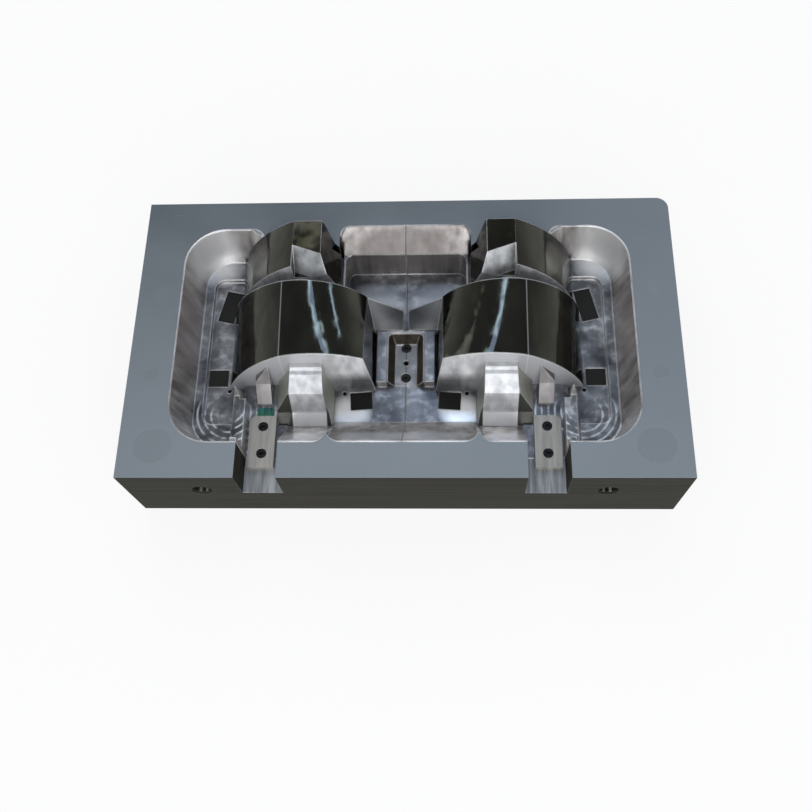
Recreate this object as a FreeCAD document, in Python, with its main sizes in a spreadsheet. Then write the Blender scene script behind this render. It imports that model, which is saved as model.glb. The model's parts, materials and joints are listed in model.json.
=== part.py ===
import FreeCAD, Part
import math
import os

import Sketcher
from FreeCAD import Placement, Rotation, Vector

# Core plate of a two-impression injection mould, with its core inserts, slide
# wear plates, ejector blocks and pins.  X runs along the plate, Y from its
# front (slide) face to its rear face, Z up; the origin is the centre of the
# underside.  Every length is in millimetres, every angle in degrees.

SIZES = [
    # Steel plate
    ("plate_length", 800.0, "along X"),
    ("plate_width", 450.0, "along Y"),
    ("plate_height", 150.0, "underside to parting face"),
    ("plate_corner", 18.0, "radius of the marked rear right corner"),
    ("pocket_floor", 30.0, "level of the floor that the core inserts stand on"),
    ("insert_fit", 0.04, "gap all round between an insert and its pocket"),
    # Outline of the insert pocket at the parting face, right half
    ("end_x", 336.5, "outer wall"),
    ("end_rear", 178.0, "rear wall of the end bay"),
    ("front_wall", 173.0, "front wall, forward of the centre"),
    ("end_corner", 62.0, "radius of the end bay corners"),
    ("bay_inner_x", 238.0, "where the rear wall of the end bay turns in"),
    ("cusp_x", 216.0, "corner between end bay and lobe"),
    ("cusp_radius", 20.0, "radius of the end bay's inner corner"),
    ("lobe_rear", 162.0, "rear wall behind the lobe"),
    ("lobe_corner_x", 120.0, "inner rear corner of the lobe"),
    ("centre_x", 100.0, "side wall of the rear centre bay"),
    ("centre_turn", 143.0, "where that side wall meets the lobe"),
    ("centre_rear", 182.0, "rear wall of the centre bay"),
    ("centre_rear_corner", 15.0, "radius of its corners"),
    ("front_centre_x", 84.0, "start of the front centre bay's corner"),
    ("front_cusp_x", 108.0, "cusp between the front bays"),
    ("front_cusp", 158.5, "how far forward that cusp lies"),
    ("front_centre_corner", 25.0, "radius of the front centre bay's corner"),
    ("front_bay_x", 127.0, "start of the front lobe bay's corner"),
    ("front_bay_corner", 20.0, "radius of the front lobe bay's corner"),
    # Slide slots through the front face
    ("slot_inner_x", 174.0, "inner wall"),
    ("slot_outer_x", 233.0, "outer wall"),
    ("slot_floor", 80.0, "level of the floor"),
    ("slot_rear", 89.0, "rear end, forward of the centre"),
    # Bays cut in the inserts
    ("rim", 2.0, "flat rim left at the parting face"),
    ("lip", 4.0, "chamfer at the top of the centre bays' walls"),
    ("wall_half", 1.5, "half the wall between the front bays"),
    ("rib_clear", 20.0, "how far the rib's lowered top runs past its side"),
    ("rib_front", 8.0, "front end of the rib's lowered top, from the front wall"),
    ("wall_draft", 13.0, "slope of the end bay walls"),
    ("bay_rib_x", 242.0, "rib beside the slot, outer side at the parting face"),
    ("bay_rib_rear", 86.0, "rear end of that rib, forward of the centre"),
    ("bay_floor", 80.0, "upper floor of the end bay"),
    ("bay_rib_top", 112.0, "top of that rib"),
    ("channel_floor", 72.0, "lower floor of the end bay"),
    ("channel_x", 304.0, "outer side of the lower floor"),
    ("channel_front", 118.0, "front end of the lower floor"),
    ("channel_rear", 128.0, "rear end of the lower floor"),
    ("channel_corner", 16.0, "corner radius of the lower floor"),
    ("centre_floor", 62.0, "floor of the centre bays"),
    ("centre_step", 120.0, "foot of the sloped rear wall"),
    ("centre_step_y", 147.0, "where that slope ends"),
    ("recess_x", 93.0, "side wall of the recess below that slope"),
    ("recess_corner", 12.0, "its corner radius"),
    ("centre_foot_y", 109.0, "front end of the centre floor"),
    ("lobe_bay_floor", 75.0, "floor in front of the front lobe"),
    ("lobe_bay_foot", 121.0, "front end of that floor"),
    ("land_level", 80.0, "land round the runner block"),
    ("land_x", 44.0, "half width of the land"),
    ("land_rear", 36.0, "rear end of the land"),
    ("core_seat", 45.0, "level of the seats that the cores stand on"),
    ("core_gap", 0.04, "gap between a core and its seat walls"),
    # Arch cores
    ("arch_front", 57.0, "front face at its foot, forward of the centre"),
    ("arch_front_top", 50.0, "front face at its top"),
    ("arch_rear", 66.0, "rear edge of the polished panel"),
    ("arch_inner_foot", 45.0, "inner side at the foot"),
    ("arch_inner_top", 57.0, "inner side at the top"),
    ("arch_knee", 60.0, "level where the inner side starts to lean"),
    ("arch_front_inner_z", 163.0, "inner end of the front edge"),
    ("arch_front_crease_z", 169.0, "outer end of the front edge"),
    ("arch_front_crown", 175.0, "radius of the front edge"),
    ("arch_rear_inner_z", 134.0, "inner end of the rear edge"),
    ("arch_rear_crease_z", 184.0, "outer end of the rear edge"),
    ("arch_rear_crown", 112.0, "radius of the rear edge"),
    ("crease_x", 178.0, "crease between panel and flank"),
    ("flank_front", 185.0, "radius of the flank at the front"),
    ("flank_radius", 130.0, "radius of the flank at the rear"),
    ("flank_foot", 75.0, "level of the flank's foot"),
    ("arch_foot_x", 267.0, "outer foot of the flank"),
    ("shoulder_rear", 84.0, "rear end of the shoulder groove"),
    ("shoulder_x", 96.0, "inner side of the shoulder and the lobe"),
    ("shoulder_lean", 24.0, "fall of the shoulder toward its inner side"),
    ("shoulder_drop", 34.0, "depth of the shoulder's edges below the lobe deck"),
    ("groove_drop", 46.0, "depth of its groove below the lobe deck"),
    ("wing_front", 36.0, "front side of the wing"),
    ("wing_x", 4.0, "inner end of the wing beside the seam"),
    ("wing_z", 89.0, "its height there"),
    ("wing_rise", 6.0, "height of its front edge above the land, at the arch"),
    # Rear lobes
    ("lobe_foot_x", 258.0, "outer foot of the flank"),
    ("lobe_crease_x", 164.0, "crease between deck and flank"),
    ("lobe_deck", 194.0, "height of the deck"),
    ("lobe_top_x", 122.0, "inner edge of the deck"),
    ("lobe_flank", 185.0, "radius of the flank"),
    ("lobe_knee", 118.0, "level where the inner side starts to lean"),
    ("window_rear", 113.0, "rear edge of the sloped window face, at its middle"),
    ("window_turn", 20.0, "turn of that face in plan"),
    ("window_run", 25.0, "length of that face in plan"),
    ("shoulder_low", 162.0, "level of that face's lower edge"),
    # Front lobes
    ("nose_inner_foot", 108.0, "inner foot"),
    ("nose_inner_top", 118.0, "inner top edge"),
    ("nose_inner_knee", 108.0, "level where the inner side spreads"),
    ("nose_outer_top", 164.0, "outer top edge"),
    ("nose_outer_side", 166.5, "outer side, where the cheek meets it"),
    ("cheek_top", 134.0, "height of the cheek there"),
    ("cheek_foot", 94.0, "height of the cheek at the slot"),
    ("nose_outer_foot", 189.0, "outer foot"),
    ("nose_top", 150.0, "height of the first tread"),
    ("nose_front", 120.0, "front foot, forward of the centre"),
    ("nose_step_a", 58.0, "front of the first tread"),
    ("nose_step_b", 61.0, "foot of the riser"),
    ("nose_step_c", 67.0, "front of the second tread"),
    ("nose_riser", 4.0, "height of the riser"),
    ("nose_brow", 91.0, "front edge of the upper slope"),
    ("nose_brow_z", 130.0, "its height"),
    ("nose_chin", 104.0, "top edge of the lower slope"),
    ("nose_chin_z", 90.0, "its height"),
    # Shut-off blocks behind the slide slots
    ("shut_gap", 9.0, "gap between it and the nose's outer foot"),
    ("shut_width", 22.0, "width"),
    ("shut_top", 141.0, "inner end of its top edge, against the arch"),
    ("shut_low", 114.0, "outer end of that edge"),
    ("shut_brow", 67.0, "edge between its two slopes, forward of the centre"),
    ("shut_brow_z", 112.0, "height of that edge"),
    ("shut_heel", 7.0, "height of its foot above the slot floor"),
    # Slide wear plates
    ("wear_inner_x", 189.5, "inner edge"),
    ("wear_outer_x", 229.0, "outer edge"),
    ("wear_rear", 109.0, "rear end, forward of the centre"),
    ("wear_front", 189.0, "front end, forward of the centre"),
    ("wear_thickness", 10.0, "thickness"),
    ("wear_corner", 6.0, "chamfer of the outer rear corner"),
    ("wear_screw_x", 208.5, "screw line"),
    ("wear_screw_rear", 126.0, "rear screw, forward of the centre"),
    ("wear_screw_front", 168.0, "front screw, forward of the centre"),
    # Runner block
    ("runner_x", 29.0, "half width"),
    ("runner_front", 50.0, "front end, forward of the centre"),
    ("runner_rear", 33.0, "rear end"),
    ("trough_corner", 8.0, "corner radius of the trough"),
    ("trough_rear", 31.0, "rear end of the trough at the land"),
    ("trough_half", 27.0, "half width of the trough at the land"),
    ("trough_floor", 62.0, "floor of the trough"),
    ("trough_draft", 30.0, "slope of its sides"),
    ("runner_screw_rear", 14.0, "rear screw"),
    ("runner_screw_front", 36.0, "front screw, forward of the centre"),
    ("puller_y", 11.0, "sprue puller, forward of the centre"),
    ("puller_sink", 5.0, "its end below the trough floor"),
    ("head_sink", 1.0, "screw heads below the trough floor"),
    ("runner_thread_rise", 4.0, "blind end of the runner screw threads above the pocket floor"),
    # Socket screws: M8 and M12
    ("small_screw", 4.0, "M8 thread radius"),
    ("small_head", 6.5, "M8 head radius"),
    ("small_head_length", 8.0, "M8 head height"),
    ("small_head_bore", 7.5, "M8 counterbore radius"),
    ("small_grip", 18.0, "M8 thread length below the head"),
    ("large_screw", 6.0, "M12 thread radius"),
    ("large_head", 9.0, "M12 head radius"),
    ("large_head_length", 12.0, "M12 head height"),
    ("large_head_bore", 10.0, "M12 counterbore radius"),
    ("large_grip", 30.0, "M12 thread length above the head"),
    ("insert_head_depth", 13.0, "depth of the M12 counterbores"),
    ("socket", 0.8, "width over flats of a socket, in thread diameters"),
    ("screw_gap", 0.03, "gap between a thread and its hole"),
    ("insert_screw_inner", 140.0, "inner insert screws, from the centre"),
    ("insert_screw_outer", 240.0, "outer insert screws, from the centre"),
    ("insert_screw_y", 105.0, "insert screws, front and rear"),
    # Ejector side
    ("rod_radius", 8.0, "rods of the ejector blocks"),
    ("pin_radius", 3.0, "ejector pins"),
    ("puller_radius", 4.0, "sprue puller pin"),
    ("return_radius", 10.0, "return pins"),
    ("slide_gap", 0.05, "running gap round a sliding piece"),
    ("block_depth", 24.0, "height of an ejector block"),
    ("rod_grip", 12.0, "rod end held in its block"),
    ("rod_end", 2.0, "level of the lower ends"),
    ("rear_block_x", 278.5, "centre of the rear blocks"),
    ("rear_block_y", 83.0, "centre of the rear blocks"),
    ("rear_block_width", 26.0, "across"),
    ("rear_block_length", 54.0, "along"),
    ("rear_block_turn", 13.0, "turn in plan"),
    ("side_block_x", 286.5, "centre of the front outer blocks"),
    ("side_block_y", -40.0, "centre of the front outer blocks"),
    ("side_block_width", 30.0, "across"),
    ("side_block_length", 27.0, "along"),
    ("side_block_turn", 0.0, "turn in plan"),
    ("inner_block_x", 67.0, "centre of the inner blocks"),
    ("inner_block_y", -74.0, "centre of the inner blocks"),
    ("inner_block_width", 33.0, "across"),
    ("inner_block_length", 28.0, "along"),
    ("inner_block_turn", -4.0, "turn in plan"),
    ("inner_pin_x", 93.0, "inner ejector pins"),
    ("inner_pin_y", -62.0, "inner ejector pins"),
    ("outer_pin_x", 268.0, "outer ejector pins"),
    ("outer_pin_y", -61.5, "outer ejector pins"),
    ("return_x", 366.0, "return pins, from the centre"),
    ("return_y", 68.0, "return pins, from the centre"),
    # Parting-face pads, lifting and clamping holes
    ("pad_x", 351.0, "centres, from the centre"),
    ("pad_y", 178.0, "centres, from the centre"),
    ("pad_radius", 26.0, "radius"),
    ("pad_depth", 20.0, "thickness"),
    ("eye_x", 290.0, "lifting eye holes, from the centre"),
    ("eye_z", 92.0, "their height"),
    ("eye_radius", 13.25, "M30 core hole radius"),
    ("eye_depth", 50.0, "depth"),
    ("eye_mouth", 2.5, "countersink of the mouth"),
    ("clamp_x", 370.0, "clamp holes in the underside, from the centre"),
    ("clamp_y", 110.0, "clamp holes in the underside, from the centre"),
    ("clamp_radius", 8.75, "M20 core hole radius"),
    ("clamp_depth", 45.0, "depth"),
]


class Cell:
    """A length as its number now and as the sheet formula that gives it."""

    def __init__(self, value, text):
        self.value = value
        self.text = text

    def __add__(self, other):
        other = cell(other)
        return Cell(self.value + other.value, f"({self.text} + {other.text})")

    def __sub__(self, other):
        other = cell(other)
        return Cell(self.value - other.value, f"({self.text} - {other.text})")

    def __mul__(self, other):
        other = cell(other)
        return Cell(self.value * other.value, f"({self.text} * {other.text})")

    def __neg__(self):
        return Cell(-self.value, f"(-1 * {self.text})")

    def __truediv__(self, other):
        other = cell(other)
        return Cell(self.value / other.value, f"({self.text} / {other.text})")


def cell(number):
    return number if isinstance(number, Cell) else Cell(float(number), repr(float(number)))


class Sizes:
    """The driving dimensions, each read by its name."""


doc = FreeCAD.newDocument("mould_core_plate")
sheet = doc.addObject("Spreadsheet::Sheet", "sizes")
S = Sizes()
for row, (name, value, note) in enumerate(SIZES, 1):
    sheet.set(f"A{row}", note)
    sheet.set(f"B{row}", str(value))
    sheet.setAlias(f"B{row}", name)
    setattr(S, name, Cell(value, "sizes." + name))
doc.recompute()

SIDES = {"left": -1, "right": 1}
NODES = []


# ---------------------------------------------------------------- drawing

def bind(thing, prop, length):
    thing.setExpression(prop, cell(length).text)


def draw(sketch, points):
    """Closed outline through points (x, y) or (x, y, radius).

    A radius makes the edge that leaves the point an arc.  It bulges to the
    left of the way the outline runs, or to the right if its sign is -1.
    """
    corners = [Vector(cell(p[0]).value, cell(p[1]).value, 0) for p in points]
    edges = []
    for index, point in enumerate(points):
        start = corners[index]
        end = corners[(index + 1) % len(corners)]
        if len(point) == 2:
            edges.append(sketch.addGeometry(Part.LineSegment(start, end), False))
            continue
        radius = cell(point[2]).value
        chord = end - start
        left = Vector(-chord.y, chord.x, 0).normalize() * point[3]
        rise = radius - math.sqrt(radius ** 2 - (chord.Length / 2) ** 2)
        crown = (start + end) * 0.5 + left * rise
        edges.append(sketch.addGeometry(Part.Arc(start, crown, end), False))

    def ends(index):
        """Start and end of an edge; a clockwise arc is kept from end to start."""
        clockwise = len(points[index]) > 2 and points[index][3] > 0
        return (2, 1) if clockwise else (1, 2)

    for index, point in enumerate(points):
        first = ends(index)[0]
        after = (index + 1) % len(points)
        last = ends(index)[1]
        for kind, number in (("DistanceX", point[0]), ("DistanceY", point[1])):
            fixed = Sketcher.Constraint(kind, edges[index], first, cell(number).value)
            bind(sketch, f"Constraints[{sketch.addConstraint(fixed)}]", number)
        joined = Sketcher.Constraint("Coincident", edges[index], last, edges[after], ends(after)[0])
        sketch.addConstraint(joined)
        if len(point) > 2:
            fixed = Sketcher.Constraint("Radius", edges[index], cell(point[2]).value)
            bind(sketch, f"Constraints[{sketch.addConstraint(fixed)}]", point[2])


def draw_circles(sketch, circles):
    for x, y, radius in circles:
        centre = Vector(cell(x).value, cell(y).value, 0)
        ring = Part.Circle(centre, Vector(0, 0, 1), cell(radius).value)
        edge = sketch.addGeometry(ring, False)
        for kind, number in (("DistanceX", x), ("DistanceY", y)):
            fixed = Sketcher.Constraint(kind, edge, 3, cell(number).value)
            bind(sketch, f"Constraints[{sketch.addConstraint(fixed)}]", number)
        fixed = Sketcher.Constraint("Radius", edge, cell(radius).value)
        bind(sketch, f"Constraints[{sketch.addConstraint(fixed)}]", radius)


def mirrored(points, side):
    """The same outline on the right (side 1) or mirrored to the left (-1)."""
    return [(p[0] * side, p[1]) + ((p[2], p[3] * side) if len(p) > 2 else ()) for p in points]


PLANES = {
    "XY": (Rotation(), "z"),
    "XZ": (Rotation(Vector(1, 0, 0), 90), "y"),
    "YZ": (Rotation(Vector(1, 1, 1), 120), "x"),
}


def loose_sketch(label, plane, level, points):
    """Sketch in a plane parallel to XY, XZ or YZ, at a level along its axis."""
    turn, axis = PLANES[plane]
    sketch = doc.addObject("Sketcher::SketchObject", label)
    sketch.Placement = Placement(Vector(), turn)
    bind(sketch, f"Placement.Base.{axis}", level)
    draw(sketch, points)
    return sketch


def prism(label, plane, start, length, points):
    """Straight solid on a sketch: up from XY, forward (-Y) from XZ, +X from YZ."""
    solid = doc.addObject("Part::Extrusion", label)
    solid.Base = loose_sketch(label + "_sketch", plane, start, points)
    solid.DirMode = "Normal"
    solid.Solid = True
    bind(solid, "LengthFwd", length)
    return solid


def block(label, x, y, z):
    """Part::Box between the two values of each axis."""
    box = doc.addObject("Part::Box", label)
    for axis, side, (low, high) in zip("xyz", ("Length", "Width", "Height"), (x, y, z)):
        bind(box, f"Placement.Base.{axis}", low)
        bind(box, side, cell(high) - low)
    return box


def rod(label, x, y, low, high, radius):
    """Upright Part::Cylinder from one level to another."""
    solid = doc.addObject("Part::Cylinder", label)
    for axis, number in zip("xyz", (x, y, low)):
        bind(solid, f"Placement.Base.{axis}", number)
    bind(solid, "Radius", radius)
    bind(solid, "Height", cell(high) - low)
    return solid


def joined(label, solids):
    fuse = doc.addObject("Part::MultiFuse", label)
    fuse.Shapes = solids
    return fuse


def shared(label, solids):
    common = doc.addObject("Part::MultiCommon", label)
    common.Shapes = solids
    return common


def cut(label, base, tool):
    result = doc.addObject("Part::Cut", label)
    result.Base = base
    result.Tool = tool
    return result


def group(label, solids):
    result = doc.addObject("Part::Compound", label)
    result.Links = solids
    return result


def node(name, thing):
    """Names a finished sub-part and lists it for export."""
    thing.Label = name
    NODES.append(thing)
    return thing


# ------------------------------------------------------- PartDesign bodies

def new_body(label):
    return doc.addObject("PartDesign::Body", label)


def body_sketch(body, label, plane, level):
    sketch = body.newObject("Sketcher::SketchObject", label)
    role = plane + "_Plane"
    support = [f for f in body.Origin.OriginFeatures if f.Role == role][0]
    sketch.AttachmentSupport = [(support, "")]
    sketch.MapMode = "FlatFace"
    bind(sketch, "AttachmentOffset.Base.z", level)
    return sketch


def feature(body, kind, label, sketch, length, reverse=False, taper=0.0):
    """Pad or Pocket of a sketch over a length."""
    made = body.newObject("PartDesign::" + kind, label)
    made.Profile = sketch
    made.Reversed = reverse
    bind(made, "Length", length)
    if cell(taper).value:
        bind(made, "TaperAngle", taper)
    sketch.Visibility = False
    return made


def dress(body, kind, label, base, size_name, size, test):
    """Fillet or Chamfer of the base feature's edges that pass a test."""
    doc.recompute()
    edges = [f"Edge{i}" for i, edge in enumerate(base.Shape.Edges, 1) if test(edge)]
    made = body.newObject("PartDesign::" + kind, label)
    made.Base = (base, edges)
    bind(made, size_name, size)
    return made


# ------------------------------------------------------------ the outline

def half_outline(grow):
    """Right half of the insert pocket, from the rear seam round to the front.

    grow is added all round, away from the middle of the pocket.
    """
    front = -S.front_wall - grow
    end_rear = S.end_rear + grow
    end_x = S.end_x + grow
    centre_x = S.centre_x + grow
    centre_rear = S.centre_rear + grow
    lobe_rear = S.lobe_rear + grow
    return [
        (cell(0), centre_rear),
        (centre_x - S.centre_rear_corner, centre_rear, S.centre_rear_corner, 1),
        (centre_x, centre_rear - S.centre_rear_corner),
        (centre_x, S.centre_turn + grow),
        (S.lobe_corner_x, lobe_rear),
        (S.cusp_x - grow, lobe_rear, S.cusp_radius, 1),
        (S.bay_inner_x, end_rear),
        (end_x - S.end_corner, end_rear, S.end_corner, 1),
        (end_x, end_rear - S.end_corner),
        (end_x, front + S.end_corner, S.end_corner, 1),
        (end_x - S.end_corner, front),
        (S.front_bay_x, front, S.front_bay_corner, 1),
        (S.front_cusp_x, -S.front_cusp - grow, S.front_centre_corner, 1),
        (S.front_centre_x, front),
        (cell(0), front),
    ]


def reversed_outline(points):
    """The same outline run the other way, each arc kept with its edge."""
    corners = [(p[0], p[1]) for p in points][::-1]
    arcs = [p[2:] for p in points][::-1]
    arcs = arcs[1:] + arcs[:1]
    turned = []
    for corner, arc in zip(corners, arcs):
        turned.append(corner + ((arc[0], -arc[1]) if arc else ()))
    return turned


# ------------------------------------------------------------------ plate

def upright_corner(edge):
    """True on the vertical edge at the plate's rear right corner."""
    box = edge.BoundBox
    half = (S.plate_length.value / 2, S.plate_width.value / 2)
    return box.ZLength > 1 and abs(box.XMin - half[0]) < 0.1 and abs(box.YMin - half[1]) < 0.1


def mould_plate():
    body = new_body("mould_plate")
    half_x = S.plate_length / 2
    half_y = S.plate_width / 2
    base = body_sketch(body, "plate_outline", "XY", 0)
    draw(base, [(-half_x, -half_y), (half_x, -half_y), (half_x, half_y), (-half_x, half_y)])
    slab = feature(body, "Pad", "slab", base, S.plate_height)
    dress(body, "Fillet", "marked_corner", slab, "Radius", S.plate_corner, upright_corner)

    right = half_outline(S.insert_fit)[1:-1]
    left = mirrored(reversed_outline(half_outline(S.insert_fit))[1:-1], -1)
    opening = body_sketch(body, "pocket_outline", "XY", S.plate_height)
    draw(opening, right + left)
    feature(body, "Pocket", "insert_pocket", opening, S.plate_height - S.pocket_floor)

    for side_name, side in SIDES.items():
        slot = body_sketch(body, "slot_outline_" + side_name, "XY", S.plate_height)
        inner = S.slot_inner_x * side
        outer = S.slot_outer_x * side
        draw(slot, [(inner, -half_y - 1), (outer, -half_y - 1),
                    (outer, -S.front_wall + 1), (inner, -S.front_wall + 1)])
        feature(body, "Pocket", "slide_slot_" + side_name, slot, S.plate_height - S.slot_floor)

    pads = body_sketch(body, "pad_circles", "XY", S.plate_height)
    draw_circles(pads, [(x, y, S.pad_radius + S.insert_fit) for x, y in four_corners(S.pad_x, S.pad_y)])
    feature(body, "Pocket", "pad_seats", pads, S.pad_depth)

    returns = body_sketch(body, "return_circles", "XY", S.plate_height)
    draw_circles(returns, [(x, y, S.return_radius + S.slide_gap)
                           for x, y in four_corners(S.return_x, S.return_y)])
    feature(body, "Pocket", "return_bores", returns, S.plate_height)

    rods = body_sketch(body, "ejector_circles", "XY", S.pocket_floor)
    draw_circles(rods, [(x, y, radius + S.slide_gap) for x, y, radius in ejector_axes()])
    feature(body, "Pocket", "ejector_bores", rods, S.pocket_floor)

    shanks = body_sketch(body, "insert_screw_circles", "XY", S.pocket_floor)
    draw_circles(shanks, [(x, y, S.large_screw + S.screw_gap) for x, y in insert_screw_axes()])
    feature(body, "Pocket", "insert_screw_holes", shanks, S.pocket_floor)
    heads = body_sketch(body, "insert_head_circles", "XY", 0)
    draw_circles(heads, [(x, y, S.large_head_bore) for x, y in insert_screw_axes()])
    feature(body, "Pocket", "insert_head_bores", heads, S.insert_head_depth, reverse=True)

    clamps = body_sketch(body, "clamp_circles", "XY", 0)
    draw_circles(clamps, [(x, y, S.clamp_radius) for x, y in four_corners(S.clamp_x, S.clamp_y)])
    feature(body, "Pocket", "clamp_holes", clamps, S.clamp_depth, reverse=True)

    eyes = body_sketch(body, "eye_circles", "XZ", half_y)
    draw_circles(eyes, [(S.eye_x * side, S.eye_z, S.eye_radius) for side in SIDES.values()])
    holes = feature(body, "Pocket", "eye_holes", eyes, S.eye_depth)
    dress(body, "Chamfer", "eye_mouths", holes, "Size", S.eye_mouth, eye_mouth)
    return node("mould_plate", body)


def eye_mouth(edge):
    """True on the rim of a lifting eye hole in the front face."""
    box = edge.BoundBox
    front = abs(box.YMin + S.plate_width.value / 2) < 0.1 and box.YLength < 0.1
    return front and abs(box.ZLength - 2 * S.eye_radius.value) < 0.1


def four_corners(x, y):
    """The four mirrored places of one corner."""
    return [(x * sx, y * sy) for sx in (-1, 1) for sy in (-1, 1)]


def insert_screw_axes():
    axes = []
    for side in SIDES.values():
        for x in (S.insert_screw_inner, S.insert_screw_outer):
            axes += [(x * side, -S.insert_screw_y), (x * side, S.insert_screw_y)]
    return axes


# ---------------------------------------------------------- ejector layout

BLOCKS = {
    "rear": (S.rear_block_x, S.rear_block_y, S.rear_block_width, S.rear_block_length,
             S.rear_block_turn, S.channel_floor),
    "side": (S.side_block_x, S.side_block_y, S.side_block_width, S.side_block_length,
             S.side_block_turn, S.channel_floor),
    "inner": (S.inner_block_x, S.inner_block_y, S.inner_block_width, S.inner_block_length,
              S.inner_block_turn, S.centre_floor),
}
PINS = {
    "inner": (S.inner_pin_x, S.inner_pin_y, S.centre_floor),
    "outer": (S.outer_pin_x, S.outer_pin_y, S.channel_floor),
}


def ejector_axes():
    """Every bore that an ejector rod or pin slides in: x, y, radius of the piece."""
    axes = [(cell(0), -S.puller_y, S.puller_radius)]
    for side in SIDES.values():
        axes += [(x * side, y, S.rod_radius) for x, y, *_ in BLOCKS.values()]
        axes += [(x * side, y, S.pin_radius) for x, y, _ in PINS.values()]
    return axes


def turned_block(label, x, y, width, length, turn, low, high):
    """Upright block on its own centre line, turned in plan."""
    half = (width / 2, length / 2)
    plan = [(-half[0], -half[1]), (half[0], -half[1]), (half[0], half[1]), (-half[0], half[1])]
    solid = prism(label, "XY", cell(0), cell(high) - low, plan)
    solid.Placement = Placement(Vector(), Rotation(Vector(0, 0, 1), 1.0))
    for axis, number in zip("xyz", (x, y, low)):
        bind(solid, f"Placement.Base.{axis}", number)
    bind(solid, "Placement.Rotation.Angle", turn)
    return solid


# ---------------------------------------------------------------- inserts

def span(side, inner, outer):
    """Low and high X of a stretch given from the seam outward."""
    inner = cell(inner)
    return (inner, cell(outer)) if side > 0 else (-cell(outer), -inner)


def sunk(label, points, top, depth, draft):
    """Pocket tool drawn at its top level, narrowing downward by its draft."""
    solid = doc.addObject("Part::Extrusion", label)
    solid.Base = loose_sketch(label + "_sketch", "XY", top, points)
    solid.DirMode = "Normal"
    solid.Solid = True
    solid.LengthFwd = 0
    bind(solid, "LengthRev", depth)
    bind(solid, "TaperAngleRev", -cell(draft))
    return solid


def across(label, side, inner, outer, points):
    """YZ profile run along X between two distances from the seam."""
    low, high = span(side, inner, outer)
    return prism(label, "YZ", low, high - low, points)


def end_bay(tag, side):
    """Drafted bay round the outer end of an insert, with its deeper channel."""
    x = S.end_x - S.rim
    rear = S.end_rear - S.rim
    front = -S.front_wall + S.rim
    corner = S.end_corner - S.rim
    lobe_side = S.crease_x
    plan = [
        (lobe_side, S.lobe_rear - S.rim),
        (S.cusp_x, S.lobe_rear - S.rim),
        (S.bay_inner_x, rear),
        (x - corner, rear, corner, 1),
        (x, rear - corner),
        (x, front + corner, corner, 1),
        (x - corner, front),
        (S.bay_rib_x, front),
        (S.bay_rib_x, -S.bay_rib_rear),
        (lobe_side, -S.bay_rib_rear),
    ]
    upper = sunk("end_bay_" + tag, mirrored(plan, side), S.plate_height,
                 S.plate_height - S.bay_floor, S.wall_draft)
    turn = S.channel_corner
    inner = S.lobe_foot_x - turn
    channel = [
        (inner, S.channel_rear),
        (S.channel_x - turn, S.channel_rear, turn, 1),
        (S.channel_x, S.channel_rear - turn),
        (S.channel_x, turn - S.channel_front, turn, 1),
        (S.channel_x - turn, -S.channel_front),
        (inner, -S.channel_front),
    ]
    lower = prism("channel_" + tag, "XY", S.channel_floor, S.bay_floor - S.channel_floor + 1,
                  mirrored(channel, side))
    return [upper, lower]


def centre_bays(tag, side):
    """Rear and front bays beside the seam, round the raised runner land."""
    above = S.plate_height + 1
    rear = S.centre_rear - S.rim
    front = -S.front_wall + S.rim
    profile = [
        (rear, above),
        (front, above),
        (front, S.plate_height),
        (front + S.lip, S.plate_height - S.lip),
        (-S.centre_foot_y, S.centre_floor),
        (S.centre_step_y, S.centre_floor),
        (S.centre_step_y, S.centre_step),
        (rear - S.lip, S.plate_height - S.lip),
        (rear, S.plate_height),
    ]
    run = across("centre_profile_" + tag, side, -1, S.front_cusp_x - S.wall_half, profile)
    plan = prism("centre_plan_" + tag, "XY", S.core_seat, above - S.core_seat,
                 mirrored(half_outline(-S.rim), side))
    land = block("land_" + tag, span(side, -2, S.land_x), (-S.runner_front, S.land_rear),
                 (S.core_seat, S.land_level))
    turn = S.recess_corner
    ledge = prism("recess_ledge_" + tag, "XY", S.core_seat, S.centre_step - S.core_seat, mirrored([
        (S.recess_x, S.arch_rear),
        (S.recess_x, S.centre_step_y - turn, turn, -1),
        (S.recess_x - turn, S.centre_step_y),
        (S.recess_x - turn, S.centre_rear),
        (S.front_cusp_x, S.centre_rear),
        (S.front_cusp_x, S.arch_rear),
    ], side))
    kept = joined("centre_kept_" + tag, [land, ledge])
    centre = cut("centre_bays_" + tag, shared("centre_space_" + tag, [run, plan]), kept)

    profile = [
        (-S.arch_front, above),
        (front, above),
        (front, S.plate_height),
        (front + S.lip, S.plate_height - S.lip),
        (-S.lobe_bay_foot, S.lobe_bay_floor),
        (-S.arch_front, S.lobe_bay_floor),
    ]
    run = across("nose_profile_" + tag, side, S.front_cusp_x + S.wall_half, S.slot_inner_x + 1, profile)
    plan = prism("nose_plan_" + tag, "XY", S.core_seat, above - S.core_seat,
                 mirrored(half_outline(-S.rim), side))
    return [centre, shared("nose_bay_" + tag, [run, plan])]


def shut_sides():
    """Inner and outer side of a shut-off block, counted outward from the nose's foot."""
    inner = S.nose_outer_foot + S.shut_gap
    return inner, inner + S.shut_width


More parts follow.
